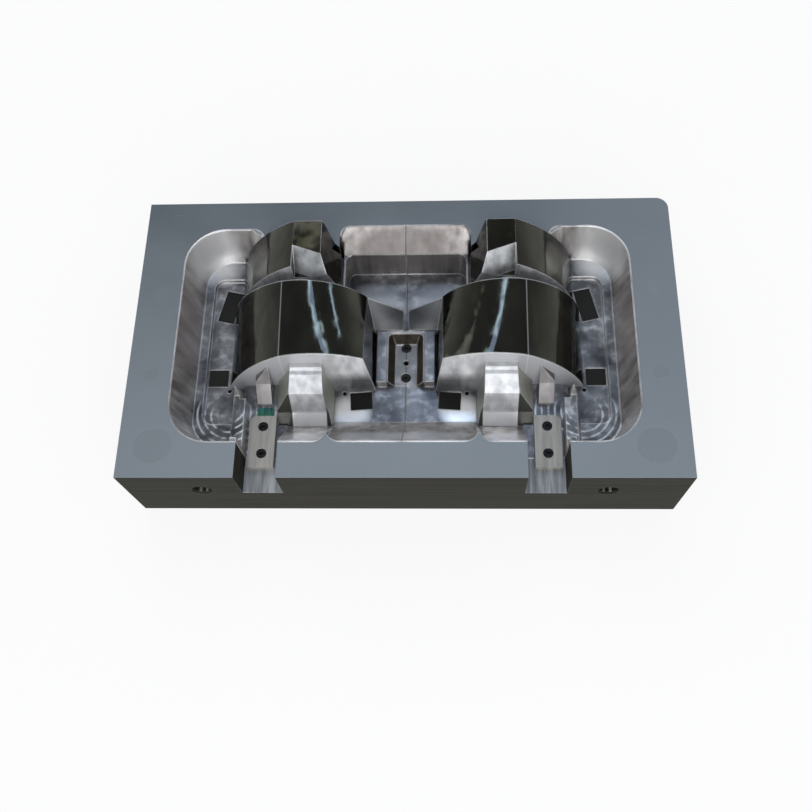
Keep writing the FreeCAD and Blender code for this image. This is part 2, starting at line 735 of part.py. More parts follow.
def seats(tag, side):
    """Straight-walled seats of the cores, the shut-off block and the runner block."""
    gap = S.core_gap
    height = (S.core_seat, S.plate_height + 1)
    rear_wall = S.lobe_rear + 1
    shut_inner, shut_outer = shut_sides()
    places = {
        "arch": (S.arch_inner_foot - gap, S.arch_foot_x + gap, -S.arch_front - gap, S.arch_rear + gap),
        "wing": (S.wing_x - gap, S.arch_inner_foot, S.wing_front - gap, S.arch_rear + gap),
        "lobe": (S.shoulder_x - gap, S.lobe_foot_x + gap, S.arch_rear, rear_wall),
        "nose": (S.nose_inner_foot - gap, S.nose_outer_foot + gap, -S.nose_front - gap, -S.arch_front),
        "shut": (shut_inner - gap, shut_outer + gap, -S.slot_rear - gap, -S.arch_front),
        "runner": (-1, S.runner_x + gap, -S.runner_front - gap, S.runner_rear + gap),
    }
    return [block(f"{name}_seat_{tag}", span(side, inner, outer), (front, rear), height)
            for name, (inner, outer, front, rear) in places.items()]


def insert_holes(tag, side):
    """Slide slot, ejector pockets and bores, and threaded screw holes of an insert."""
    tools = [
        block("slot_" + tag, span(side, S.slot_inner_x, S.slot_outer_x),
              (-S.front_wall - 1, -S.slot_rear), (S.slot_floor, S.plate_height + 1)),
        block("rib_top_" + tag, span(side, S.slot_outer_x - 1, S.bay_rib_x + S.rib_clear),
              (-S.front_wall + S.rib_front, -S.bay_rib_rear + 1), (S.bay_rib_top, S.plate_height + 1)),
        block("shut_space_" + tag, span(side, S.nose_outer_foot, S.bay_rib_x),
              (-S.slot_rear - 1, -S.arch_front), (S.bay_floor, S.plate_height + 1)),
        block("nose_side_" + tag, span(side, S.front_cusp_x - S.wall_half - 1, S.nose_inner_foot),
              (-S.nose_front - S.core_gap, -S.arch_front), (S.centre_floor, S.plate_height + 1)),
        across("ridge_top_" + tag, side, S.front_cusp_x - S.wall_half - 1,
               S.front_cusp_x + S.wall_half + 1, [
                   (-S.front_cusp, S.plate_height + 1),
                   (-S.front_cusp, S.plate_height),
                   (-S.lobe_bay_foot, S.lobe_bay_floor + 2),
                   (-S.arch_front, S.lobe_bay_floor + 2),
                   (-S.arch_front, S.plate_height + 1),
               ]),
    ]
    gap = S.slide_gap * 2
    below = S.pocket_floor - 1
    for name, (x, y, width, length, turn, top) in BLOCKS.items():
        tools.append(turned_block(f"{name}_block_pocket_{tag}", x * side, y, width + gap, length + gap,
                                  turn * side, top - S.block_depth, top + 1))
        tools.append(rod(f"{name}_rod_bore_{tag}", x * side, y, below, top - S.block_depth + 1,
                         S.rod_radius + S.slide_gap))
    for name, (x, y, top) in PINS.items():
        tools.append(rod(f"{name}_pin_bore_{tag}", x * side, y, below, top + 1,
                         S.pin_radius + S.slide_gap))
    tools.append(rod("puller_bore_" + tag, cell(0), -S.puller_y, below, S.core_seat + 1,
                     S.puller_radius + S.slide_gap))
    for index, (x, y) in enumerate(four_corners(cell(0), S.insert_screw_y)[:2]):
        for inner in (S.insert_screw_inner, S.insert_screw_outer):
            tools.append(rod(f"fixing_thread_{tag}_{index}", inner * side, y, below,
                             S.insert_head_depth + S.large_grip, S.large_screw + S.screw_gap))
    for y in (S.wear_screw_rear, S.wear_screw_front):
        tools.append(rod("wear_thread_" + tag, S.wear_screw_x * side, -y,
                         S.slot_floor - S.small_grip, S.slot_floor + 1, S.small_screw + S.screw_gap))
    for y in (S.runner_screw_rear, -S.runner_screw_front):
        tools.append(rod("runner_thread_" + tag, cell(0), y, below + S.runner_thread_rise,
                         S.core_seat + 1, S.small_screw + S.screw_gap))
    return tools


def core_insert(tag, side):
    plan = half_outline(0)
    plan[0] = (S.insert_fit / 2, plan[0][1])
    plan[-1] = (S.insert_fit / 2, plan[-1][1])
    blank = prism("insert_blank_" + tag, "XY", S.pocket_floor, S.plate_height - S.pocket_floor,
                  mirrored(plan, side))
    tools = end_bay(tag, side) + centre_bays(tag, side) + seats(tag, side) + insert_holes(tag, side)
    return node("core_insert_" + tag, cut("insert_" + tag, blank, joined("insert_tools_" + tag, tools)))


# ------------------------------------------------------------------ cores

def loft(label, sections):
    solid = doc.addObject("Part::Loft", label)
    solid.Sections = sections
    solid.Solid = True
    solid.Ruled = False
    return solid


def arch_section(label, side, y, inner_z, crease_z, crown, flank):
    """Section of the arch: leaning inner side, crowned panel, round flank."""
    points = [
        (S.arch_inner_foot, S.core_seat),
        (S.arch_inner_foot, S.arch_knee),
        (S.arch_inner_top, inner_z, crown, 1),
        (S.crease_x, crease_z, flank, 1),
        (S.arch_foot_x, S.flank_foot),
        (S.arch_foot_x, S.core_seat),
    ]
    return loose_sketch(label, "XZ", y, mirrored(points, side))


def shoulder_section(label, side, y, drop):
    """Section of the groove behind the arch; drop is how far it lies below it."""
    points = [
        (S.shoulder_x, S.core_seat),
        (S.shoulder_x + 2, S.lobe_deck - S.shoulder_lean - drop),
        (S.lobe_crease_x - drop / 3, S.lobe_deck - drop, S.flank_radius, 1),
        (S.lobe_foot_x, S.flank_foot),
        (S.lobe_foot_x, S.core_seat),
    ]
    return loose_sketch(label, "XZ", y, mirrored(points, side))


def wing_section(label, side, y, inner_z, outer_z):
    """Section of the wing, from the seam side to inside the arch."""
    points = [
        (S.wing_x, S.core_seat),
        (S.wing_x, inner_z),
        (S.arch_inner_top + 2, outer_z),
        (S.arch_inner_top + 2, S.core_seat),
    ]
    return loose_sketch(label, "XZ", y, mirrored(points, side))


def arch_core(tag, side):
    """Polished arch with its rear shoulder and the wing beside the seam."""
    panel = loft("arch_" + tag, [
        arch_section("arch_front_" + tag, side, -S.arch_front, S.arch_front_inner_z,
                     S.arch_front_crease_z, S.arch_front_crown, S.flank_front),
        arch_section("arch_rear_" + tag, side, S.arch_rear, S.arch_rear_inner_z,
                     S.arch_rear_crease_z, S.arch_rear_crown, S.flank_radius),
    ])
    middle = (S.arch_rear + S.shoulder_rear) / 2
    shoulder = loft("shoulder_" + tag, [
        shoulder_section("shoulder_near_" + tag, side, S.arch_rear, S.shoulder_drop),
        shoulder_section("shoulder_low_" + tag, side, middle, S.groove_drop),
        shoulder_section("shoulder_far_" + tag, side, S.shoulder_rear, S.shoulder_drop),
    ])
    wing = loft("wing_" + tag, [
        wing_section("wing_low_" + tag, side, S.wing_front, S.land_level, S.land_level + S.wing_rise),
        wing_section("wing_crest_" + tag, side, S.arch_rear, S.wing_z, S.arch_rear_inner_z),
    ])
    lean = (S.arch_front - S.arch_front_top) / (S.arch_front_crease_z - S.arch_knee)
    summit = S.arch_rear_crease_z + 10
    face = across("arch_face_" + tag, side, 0, S.arch_foot_x + 1, [
        (-S.arch_front, S.arch_knee),
        (-S.arch_front + lean * (summit - S.arch_knee), summit),
        (-S.arch_front - 1, summit),
        (-S.arch_front - 1, S.arch_knee),
    ])
    whole = joined("arch_whole_" + tag, [panel, shoulder, wing])
    return node("arch_core_" + tag, cut("arch_cut_" + tag, whole, face))


def rear_lobe_core(tag, side):
    """Lobe that stands above the parting face, with its bright window face."""
    length = S.lobe_rear - S.shoulder_rear - S.core_gap
    lobe = prism("lobe_" + tag, "XZ", S.lobe_rear, length, mirrored([
        (S.shoulder_x, S.core_seat),
        (S.shoulder_x, S.lobe_knee),
        (S.lobe_top_x, S.lobe_deck),
        (S.lobe_crease_x, S.lobe_deck, S.lobe_flank, 1),
        (S.lobe_foot_x, S.bay_floor),
        (S.lobe_foot_x, S.core_seat),
    ], side))
    corner_run = S.centre_x - S.shoulder_x + 1
    corner = prism("lobe_corner_" + tag, "XY", S.core_seat - 1, S.lobe_deck - S.core_seat + 2, mirrored([
        (S.centre_x - corner_run, S.centre_turn - corner_run),
        (S.lobe_corner_x, S.lobe_rear),
        (S.lobe_corner_x, S.lobe_rear + 1),
        (S.centre_x - corner_run, S.lobe_rear + 1),
    ], side))
    depth = S.lobe_deck - S.shoulder_low
    reach = S.lobe_crease_x - S.lobe_top_x
    wedge = prism("window_wedge_" + tag, "YZ", -reach, reach * 2, [
        (S.window_run * 0.1, depth * 0.1),
        (-S.window_run, -depth),
        (-S.window_run - reach, -depth),
        (-S.window_run - reach, depth * 0.1),
    ])
    wedge.Placement = Placement(Vector(), Rotation(Vector(0, 0, 1), 1.0))
    for axis, number in zip("xyz", ((S.lobe_crease_x + S.lobe_top_x) / 2 * side, S.window_rear, S.lobe_deck)):
        bind(wedge, f"Placement.Base.{axis}", number)
    bind(wedge, "Placement.Rotation.Angle", S.window_turn * side)
    field = block("window_field_" + tag, span(side, S.centre_x, S.lobe_crease_x),
                  (S.arch_rear, S.lobe_rear), (S.shoulder_low, S.lobe_deck + 1))
    window = shared("window_" + tag, [wedge, field])
    tools = joined("lobe_tools_" + tag, [corner, window])
    return node("rear_lobe_core_" + tag, cut("lobe_cut_" + tag, lobe, tools))


def front_lobe_core(tag, side):
    """Stepped nose in front of the arch, with leaning sides."""
    back = S.arch_front + S.core_gap
    lean = (S.arch_front - S.arch_front_top) / (S.arch_front_crease_z - S.arch_knee)
    top_back = back - lean * (S.nose_top - S.arch_knee)
    nose = across("nose_" + tag, side, S.nose_inner_foot, S.nose_outer_foot, [
        (-back, S.core_seat),
        (-back, S.arch_knee),
        (-top_back, S.nose_top),
        (-S.nose_step_a, S.nose_top),
        (-S.nose_step_b, S.nose_top - S.nose_riser),
        (-S.nose_step_c, S.nose_top - S.nose_riser - 1),
        (-S.nose_brow, S.nose_brow_z),
        (-S.nose_chin, S.nose_chin_z),
        (-S.nose_front, S.lobe_bay_floor),
        (-S.nose_front, S.core_seat),
    ])
    run = S.nose_front - S.arch_front_top + 10
    start = -S.arch_front_top + 5
    outer = prism("nose_outer_" + tag, "XZ", start, run, mirrored([
        (S.nose_outer_top, S.nose_top + 1),
        (S.nose_outer_side, S.cheek_top),
        (S.nose_outer_foot, S.cheek_foot),
        (S.nose_outer_foot + 1, S.cheek_foot),
        (S.nose_outer_foot + 1, S.nose_top + 1),
    ], side))
    inner = prism("nose_inner_" + tag, "XZ", start, run, mirrored([
        (S.nose_inner_top, S.nose_top + 1),
        (S.nose_inner_top - 2, S.nose_inner_knee),
        (S.nose_inner_foot, S.lobe_bay_floor),
        (S.nose_inner_foot - 1, S.lobe_bay_floor),
        (S.nose_inner_foot - 1, S.nose_top + 1),
    ], side))
    sides = joined("nose_sides_" + tag, [outer, inner])
    return node("front_lobe_core_" + tag, cut("nose_cut_" + tag, nose, sides))


def shutoff_block(tag, side):
    """Block that the slide's nose closes against, behind the wear plate."""
    inner, outer = shut_sides()
    back = S.arch_front + S.core_gap
    lean = (S.arch_front - S.arch_front_top) / (S.arch_front_crease_z - S.arch_knee)
    stock = across("shut_" + tag, side, inner, outer, [
        (-back, S.core_seat),
        (-back, S.arch_knee),
        (-back + lean * (S.shut_top - S.arch_knee), S.shut_top),
        (-S.shut_brow, S.shut_brow_z),
        (-S.slot_rear, S.slot_floor + S.shut_heel),
        (-S.slot_rear, S.core_seat),
    ])
    slope = prism("shut_slope_" + tag, "XZ", -S.arch_front_top, S.slot_rear, mirrored([
        (inner, S.shut_top),
        (outer, S.shut_low),
        (outer + 1, S.shut_low),
        (outer + 1, S.shut_top + 1),
        (inner, S.shut_top + 1),
    ], side))
    return node("shutoff_block_" + tag, cut("shut_cut_" + tag, stock, slope))


# -------------------------------------------------- runner and wear plates

def runner_block():
    """Block on the seam with the runner trough, two screws and the puller bore."""
    body = new_body("runner_block")
    plan = body_sketch(body, "runner_outline", "XY", S.core_seat)
    x = S.runner_x
    draw(plan, [(-x, -S.runner_front), (x, -S.runner_front), (x, S.runner_rear), (-x, S.runner_rear)])
    feature(body, "Pad", "runner_blank", plan, S.land_level - S.core_seat)
    trough = body_sketch(body, "trough_outline", "XY", S.land_level)
    half = S.trough_half
    turn = S.trough_corner
    rear = S.trough_rear
    front = -S.runner_front - S.trough_half
    draw(trough, [
        (-half, rear - turn, turn, 1),
        (-half + turn, rear),
        (half - turn, rear, turn, 1),
        (half, rear - turn),
        (half, front),
        (-half, front),
    ])
    feature(body, "Pocket", "trough", trough, S.land_level - S.trough_floor, taper=-S.trough_draft)
    screws = [S.runner_screw_rear, -S.runner_screw_front]
    mouths = body_sketch(body, "head_circles", "XY", S.trough_floor)
    draw_circles(mouths, [(cell(0), y, S.small_head_bore) for y in screws])
    feature(body, "Pocket", "head_bores", mouths, S.small_head_length + S.head_sink)
    shanks = body_sketch(body, "shank_circles", "XY", S.trough_floor)
    draw_circles(shanks, [(cell(0), y, S.small_screw + S.screw_gap) for y in screws])
    feature(body, "Pocket", "shank_holes", shanks, S.trough_floor - S.core_seat)
    bore = body_sketch(body, "puller_circle", "XY", S.trough_floor)
    draw_circles(bore, [(cell(0), -S.puller_y, S.puller_radius + S.slide_gap)])
    feature(body, "Pocket", "puller_bore", bore, S.trough_floor - S.core_seat)
    return node("runner_block", body)


def wear_plate(tag, side):
    """Plate that the slide runs on, with two counterbored screw holes."""
    body = new_body("wear_plate_" + tag)
    plan = body_sketch(body, "wear_outline_" + tag, "XY", S.slot_floor)
    cut_off = S.wear_corner
    draw(plan, mirrored([
        (S.wear_inner_x, -S.wear_rear),
        (S.wear_outer_x - cut_off, -S.wear_rear),
        (S.wear_outer_x, -S.wear_rear - cut_off),
        (S.wear_outer_x, -S.wear_front),
        (S.wear_inner_x, -S.wear_front),
    ], side))
    feature(body, "Pad", "wear_slab_" + tag, plan, S.wear_thickness)
    x = S.wear_screw_x * side
    screws = [-S.wear_screw_rear, -S.wear_screw_front]
    top = S.slot_floor + S.wear_thickness
    mouths = body_sketch(body, "wear_head_circles_" + tag, "XY", top)
    draw_circles(mouths, [(x, y, S.small_head_bore) for y in screws])
    feature(body, "Pocket", "wear_head_bores_" + tag, mouths, S.small_head_length)
    shanks = body_sketch(body, "wear_shank_circles_" + tag, "XY", top)
    draw_circles(shanks, [(x, y, S.small_screw + S.screw_gap) for y in screws])
    feature(body, "Pocket", "wear_shank_holes_" + tag, shanks, S.wear_thickness)
    return node("wear_plate_" + tag, body)


# ----------------------------------------------------------------- screws

def socket_screw(label, x, y, seat, up, radius, head, head_length, grip):
    """Socket-head screw whose head rests on a seat level and points up or down."""
    if up:
        levels = (seat, seat + head_length, seat - grip)
    else:
        levels = (seat, seat - head_length, seat + grip)
    low, high = (levels[0], levels[1]) if up else (levels[1], levels[0])
    cap = rod(label + "_head", x, y, low, high, head)
    low, high = (levels[2], levels[0]) if up else (levels[0], levels[2])
    shank = rod(label + "_shank", x, y, low, high, radius)
    socket = doc.addObject("Part::Prism", label + "_socket")
    socket.Polygon = 6
    depth = head_length * 0.5
    bind(socket, "Circumradius", radius * S.socket * 1.1547)
    bind(socket, "Height", depth + 1)
    for axis, number in zip("xyz", (x, y, levels[1] - depth if up else levels[1] - 1)):
        bind(socket, f"Placement.Base.{axis}", number)
    return cut(label, joined(label + "_body", [cap, shank]), socket)


def small_screws(name, places, seat):
    solids = [socket_screw(f"{name}_{i}", x, y, seat, True, S.small_screw, S.small_head,
                           S.small_head_length, S.small_grip)
              for i, (x, y) in enumerate(places)]
    return node(name, group(name, solids))


def insert_screws():
    solids = [socket_screw(f"insert_screw_{i}", x, y, S.insert_head_depth, False, S.large_screw,
                           S.large_head, S.large_head_length, S.large_grip)
              for i, (x, y) in enumerate(insert_screw_axes())]
    return node("insert_screws", group("insert_screw_set", solids))


# ---------------------------------------------------------- ejector pieces

def ejector_block(name, tag, side):
    """Block that lies flush with the floor and lifts the moulding off its core."""
    x, y, width, length, turn, top = BLOCKS[name]
    body = turned_block(f"{name}_block_{tag}", x * side, y, width, length, turn * side,
                        top - S.block_depth, top)
    grip = rod(f"{name}_rod_hole_{tag}", x * side, y, top - S.block_depth - 1,
               top - S.block_depth + S.rod_grip, S.rod_radius + S.screw_gap)
    node(f"ejector_block_{name}_{tag}", cut(f"{name}_block_cut_{tag}", body, grip))
    node(f"ejector_rod_{name}_{tag}",
         rod(f"{name}_rod_{tag}", x * side, y, S.rod_end, top - S.block_depth + S.rod_grip, S.rod_radius))


def sprue_puller():
    """Pin with a hooked end, below the floor of the trough."""
    top = S.trough_floor - S.puller_sink
    shank = rod("puller_shank", cell(0), -S.puller_y, S.rod_end, top, S.puller_radius)
    hook = block("puller_hook", (-S.puller_radius - 1, S.puller_radius + 1),
                 (-S.puller_y, -S.puller_y + S.puller_radius + 1), (top - S.puller_sink / 2, top + 1))
    return node("sprue_puller_pin", cut("puller", shank, hook))


def build():
    mould_plate()
    runner_block()
    for tag, side in SIDES.items():
        core_insert(tag, side)
        arch_core(tag, side)
        rear_lobe_core(tag, side)
        front_lobe_core(tag, side)
        shutoff_block(tag, side)
        wear_plate(tag, side)
        for name in BLOCKS:
            ejector_block(name, tag, side)
        for name, (x, y, top) in PINS.items():
            node(f"ejector_pin_{name}_{tag}",
                 rod(f"{name}_pin_{tag}", x * side, y, S.rod_end, top, S.pin_radius))
    small_screws("runner_block_screws", [(cell(0), S.runner_screw_rear), (cell(0), -S.runner_screw_front)],
                 S.trough_floor - S.small_head_length - S.head_sink)
    small_screws("wear_plate_screws",
                 [(S.wear_screw_x * side, -y) for side in SIDES.values()
                  for y in (S.wear_screw_rear, S.wear_screw_front)],
                 S.slot_floor + S.wear_thickness - S.small_head_length)
    insert_screws()
    sprue_puller()
    for (x, y), place in zip(four_corners(S.return_x, S.return_y), PLACES):
        node("return_pin_" + place, rod("return_" + place, x, y, S.rod_end, S.plate_height, S.return_radius))
    pads = [rod(f"pad_{place}", x, y, S.plate_height - S.pad_depth, S.plate_height, S.pad_radius)
            for (x, y), place in zip(four_corners(S.pad_x, S.pad_y), PLACES)]
    node("parting_pads", group("pad_set", pads))


PLACES = ("front_left", "rear_left", "front_right", "rear_right")


def check_and_export():
    """Recomputes, looks for failed objects and writes one STEP file per sub-part."""
    doc.recompute()
    failed = [thing.Name for thing in doc.Objects if {"Invalid", "Error"} & set(thing.State)]
    if failed:
        raise RuntimeError("objects failed: " + ", ".join(failed))
    os.makedirs("parts", exist_ok=True)
    for thing in NODES:
        shape = thing.Shape
        if shape.isNull() or not shape.isValid() or not shape.Solids:
            raise RuntimeError(thing.Label + " has no valid solid")
        shape.exportStep(f"parts/{thing.Label}.step")
        print(f"{thing.Label:28s} {len(shape.Solids)} solid(s) {shape.Volume / 1000:10.1f} cm3")


build()
check_and_export()
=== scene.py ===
# %% [markdown]
# # The core half of an injection mould
#
# The object is a heavy block of tool steel, 800 by 450 mm, with a pocket milled
# into it.  Two mirrored sets of steel inserts stand in the pocket.  The hollow
# half of the mould closes over them, and plastic fills the thin space between.
# The solids arrive finished from the CAD model.  This lesson gives each of them
# the broken edges, tool marks and polish that the real steel has.

# %% Load the frame
import bmesh
import bpy
import json
import math
import random
from mathutils import Euler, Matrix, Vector


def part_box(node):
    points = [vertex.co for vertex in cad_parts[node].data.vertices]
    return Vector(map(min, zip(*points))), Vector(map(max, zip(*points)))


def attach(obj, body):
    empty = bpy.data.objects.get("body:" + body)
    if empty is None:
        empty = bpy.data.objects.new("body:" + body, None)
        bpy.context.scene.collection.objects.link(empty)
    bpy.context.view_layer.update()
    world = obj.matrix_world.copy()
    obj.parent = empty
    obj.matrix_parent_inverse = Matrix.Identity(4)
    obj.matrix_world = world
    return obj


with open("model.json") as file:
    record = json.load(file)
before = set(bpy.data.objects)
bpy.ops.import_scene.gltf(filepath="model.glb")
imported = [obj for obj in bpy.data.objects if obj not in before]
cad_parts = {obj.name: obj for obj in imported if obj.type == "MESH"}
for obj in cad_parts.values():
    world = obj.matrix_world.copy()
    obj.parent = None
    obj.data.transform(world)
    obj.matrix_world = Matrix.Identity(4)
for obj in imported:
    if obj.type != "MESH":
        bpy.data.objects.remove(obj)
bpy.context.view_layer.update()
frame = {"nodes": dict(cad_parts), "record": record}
nodes = frame["nodes"]
bodies = frame["record"]["behaviour"]["bodies"]
body_of = {node: body for body, members in bodies.items() for node in members}

# %% [markdown]
# ## Levels from the solids
#
# A paint mark or a ground face has to stay on its own surface, so the levels it
# follows are read from the boxes round the solids.  The return pins end flush
# with the parting face, and the wear plates lie on the floor of the slots.

# %% Levels and extents
MM = 0.001
plate_low, plate_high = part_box("mould_plate")
wear_low, wear_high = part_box("wear_plate_left")
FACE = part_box("return_pin_front_left")[1].z
SLOT = wear_low.z
print("parting face at", round(FACE, 4), "and slot floor at", round(SLOT, 4))

# %% [markdown]
# ## One way to add a node
#
# A material in Blender is a small graph.  One function that adds a node, sets it
# up and fills or links its inputs is all the grammar that the graphs need.  An
# input may be a plain value, a socket, or a node, whose first live output is
# then used.  A Mix node has several inputs called A and B, so the two that hold
# colours go by number.  Colours are written as web hex values, as a paint chart
# gives them, and one function turns them to the linear light Cycles works in.

# %% Colour and node helpers
FIRST, SECOND = 6, 7  # the colour inputs of a Mix node


def linear(code):
    """RGBA in linear light from an sRGB hex code."""
    parts = [int(code[i:i + 2], 16) / 255 for i in (1, 3, 5)]
    return [c / 12.92 if c <= 0.04045 else ((c + 0.055) / 1.055) ** 2.4 for c in parts] + [1.0]


def add(tree, kind, inputs=None, **settings):
    """Adds a node, sets its properties, and fills or links each named or numbered input."""
    node = tree.nodes.new("ShaderNode" + kind)
    for key, value in settings.items():
        setattr(node, key, value)
    for key, value in (inputs or {}).items():
        if isinstance(value, bpy.types.Node):
            value = next(socket for socket in value.outputs if socket.enabled)
        if isinstance(value, bpy.types.NodeSocket):
            tree.links.new(value, node.inputs[key])
        else:
            node.inputs[key].default_value = value
    return node


def empty_material(name):
    material = bpy.data.materials.new(name)
    material.use_nodes = True
    material.node_tree.nodes.clear()
    return material, material.node_tree


print("steel grey #8E969C is", [round(part, 3) for part in linear("#8E969C")], "in linear light")

# %% [markdown]
# ## Marks that the steels share
#
# A mould maker's steel is never one even tone.  Each material below mixes the
# same few things: where the surface lies in the block, which way it faces, how
# near it is to an edge, and a few sizes of noise.  A Map Range node turns any of
# them into a mask from 0 to 1; its ends are swapped where the mask has to fall
# instead of rise, and its last number holds the mask below full strength.  Two
# masks that must both hold are multiplied.  The pocket is the same left and
# right, so places in it are measured outward from the centre line.  An edge
# broken with a stone catches the light, so the edge mask brightens it.
#
# The size of a noise is given as how long its lumps are along X, Y and Z, so
# equal sizes make spots and one long size makes streaks.  Most tool marks are
# too fine to show from here.  Those are drawn coarser, and their cells say so.

# %% Shared measures of a surface
def place_of(tree):
    """The point being shaded, in metres in the block's own frame, and its parts."""
    point = add(tree, "TexCoord").outputs["Object"]
    return point, add(tree, "SeparateXYZ", {"Vector": point}).outputs


def facing(tree):
    """Parts of the way the surface faces, without bumps."""
    normal = add(tree, "NewGeometry").outputs["True Normal"]
    return add(tree, "SeparateXYZ", {"Vector": normal}).outputs


def lumps(tree, point, size_mm, detail=3.0):
    """Noise whose lumps are so many millimetres long along X, Y and Z."""
    stretched = add(tree, "Mapping", {"Vector": point, "Scale": [1000 / size for size in size_mm]})
    return add(tree, "TexNoise", {"Vector": stretched, "Scale": 1.0, "Detail": detail})


def edges(tree, radius, strength=1.0):
    """A mask that is full on an edge and 0 on a flat, and the rounded normal behind it."""
    rounded = add(tree, "Bevel", {"Radius": radius}, samples=4)
    flat = add(tree, "NewGeometry").outputs["Normal"]
    turn = add(tree, "VectorMath", {0: rounded, 1: flat}, operation="DOT_PRODUCT")
    return add(tree, "MapRange", {"Value": turn, "From Min": 0.985, "From Max": 0.80,
                                  "To Max": strength}), rounded


# %% [markdown]
# ## The ground parting face
#
# The parting face is where the two halves of a mould meet, so it is ground flat
# to a few hundredths of a millimetre.  A grinding wheel leaves an even grey
# satin.  Painted shade lies over it: the grey is painted lighter at the front and
# darker toward the rear, less so on the right, and faint stains a hand wide lie
# over that.  Pads and pins that are let into the front of the face are a shade
# darker, or they couldn't be told from it.

# %% Ground face
INSET_SHADE = 0.07
STAIN_MM = (142.9, 111.1, 111.1)


def ground_face(tree, point, at, tones, inset):
    """Tone of the face with painted rear shade; tones are for the front and the rear, and inset is
    the extra shade.
    """
    # painted shade: the face is darker toward the rear, less so on the right
    rear_shade = add(tree, "MapRange", {"Value": at["Y"], "From Min": plate_low.y * 0.8,
                                     "From Max": plate_high.y})
    to_left = add(tree, "MapRange", {"Value": at["X"], "From Max": plate_high.x,
                                     "To Min": 1.0, "To Max": 0.4})
    rear_shade = add(tree, "Math", {0: rear_shade, 1: to_left}, operation="MULTIPLY")
    tone = add(tree, "Mix", {"Factor": rear_shade, FIRST: tones[0], SECOND: tones[1]},
               data_type="RGBA")
    stains = add(tree, "MapRange", {"Value": lumps(tree, point, STAIN_MM, 4.0),
                                    "From Min": 0.35, "From Max": 0.7, "To Max": 0.12})
    tone = add(tree, "Mix", {"Factor": stains, FIRST: tone, SECOND: linear("#A3ABB0")},
               data_type="RGBA")
    front = add(tree, "MapRange", {"Value": at["Y"], "From Min": 10 * MM, "From Max": -10 * MM,
                                   "To Max": inset})
    return add(tree, "Mix", {"Factor": front, FIRST: tone, SECOND: linear("#1C1F22")},
               data_type="RGBA")


print("the face runs from y", round(plate_low.y, 3), "to", round(plate_high.y, 3))

# %% [markdown]
# ## The floor of the slots
#
# Slides once ran in the two slots, and their floor is milled and rubbed bare.
# The same solid holds the face, the sides and the slots, so a mask has to find
# the floor: it is what faces up within a millimetre of the slot's own level.
# The cutter went from front to rear.  Its real tracks are about 1 mm wide and
# would not show, so they are drawn 6 mm wide.

# %% Slot floor
SLOT_TRACK_MM = (6.25, 71.4, 33.3)


def slot_floor(tree, point, at, level):
    """Mask of the slot floor, and its tone with cutter marks along Y."""
    above = add(tree, "MapRange", {"Value": at["Z"], "From Min": SLOT - 1.0 * MM,
                                   "From Max": SLOT - 0.6 * MM})
    below = add(tree, "MapRange", {"Value": at["Z"], "From Min": SLOT + 1.0 * MM,
                                   "From Max": SLOT + 0.6 * MM})
    slot = add(tree, "Math", {0: above, 1: below}, operation="MULTIPLY")
    slot = add(tree, "Math", {0: slot, 1: level}, operation="MULTIPLY")
    cutter = add(tree, "MapRange", {"Value": lumps(tree, point, SLOT_TRACK_MM),
                                    "From Min": 0.35, "From Max": 0.65})
    tone = add(tree, "Mix", {"Factor": cutter, FIRST: linear("#7F8385"),
                             SECOND: linear("#BABDBF")}, data_type="RGBA")
    return slot, tone


print("slot floor from", round(SLOT - MM, 4), "to", round(SLOT + MM, 4))

# %% [markdown]
# ## Surface-ground tool steel
#
# The sides of the block are only milled and then oiled against rust, which
# leaves them nearly black with faint level streaks.  Oiled steel shows little of
# its metal, so those sides are shaded as a dark non-metal.  The return pins are
# ground all round and have bare bright sides.  The lines that a grinding wheel
# leaves are finer than a hair, so they are drawn 3 mm wide here, very faint.

# %% Block, pad and return pin steel
SIDE_STREAK_MM = (200.0, 200.0, 5.88)
WHEEL_LINE_MM = (166.7, 3.03, 3.03)
OIL_GLOSS = 0.05
BARE_GLOSS = 0.5
GROUND_METAL = 0.75


def ground_steel(name, face_tones, side_tones, inset=0.0, oiled=True):
    material, tree = empty_material(name)
    point, at = place_of(tree)
    level = add(tree, "MapRange", {"Value": facing(tree)["Z"], "From Min": 0.85, "From Max": 0.95})
    high = add(tree, "MapRange", {"Value": at["Z"], "From Min": FACE - 0.6 * MM,
                                  "From Max": FACE - 0.3 * MM})
    face = add(tree, "Math", {0: high, 1: level}, operation="MULTIPLY")
    face_tone = ground_face(tree, point, at, face_tones, inset)
    streaks = add(tree, "MapRange", {"Value": lumps(tree, point, SIDE_STREAK_MM, 4.0),
                                     "From Min": 0.35, "From Max": 0.68})
    side_tone = add(tree, "Mix", {"Factor": streaks, FIRST: side_tones[0], SECOND: side_tones[1]},
                    data_type="RGBA")
    tone = add(tree, "Mix", {"Factor": face, FIRST: side_tone, SECOND: face_tone},
               data_type="RGBA")
    slot, slot_tone = slot_floor(tree, point, at, level)
    tone = add(tree, "Mix", {"Factor": slot, FIRST: tone, SECOND: slot_tone}, data_type="RGBA")
    # painted highlight on the broken edges
    edge, rounded = edges(tree, 1.2 * MM, 0.35)
    tone = add(tree, "Mix", {"Factor": edge, FIRST: tone, SECOND: linear("#A9AFB3")},
               data_type="RGBA")

    wheel = lumps(tree, point, WHEEL_LINE_MM, 2.0)
    bump = add(tree, "Bump", {"Height": wheel, "Strength": 0.05, "Distance": 0.2 * MM,
                              "Normal": rounded})
    rough = add(tree, "MapRange", {"Value": face, "To Min": 0.5, "To Max": 0.62})
    metal = GROUND_METAL
    if oiled:
        bare = add(tree, "Math", {0: face, 1: slot}, operation="MAXIMUM")
        metal = add(tree, "MapRange", {"Value": bare, "To Max": GROUND_METAL})
    steel = add(tree, "BsdfPrincipled", {"Base Color": tone, "Roughness": rough, "Metallic": metal,
                                         "Specular IOR Level": OIL_GLOSS if oiled else BARE_GLOSS,
                                         "Normal": bump})
    add(tree, "OutputMaterial", {"Surface": steel})
    return material


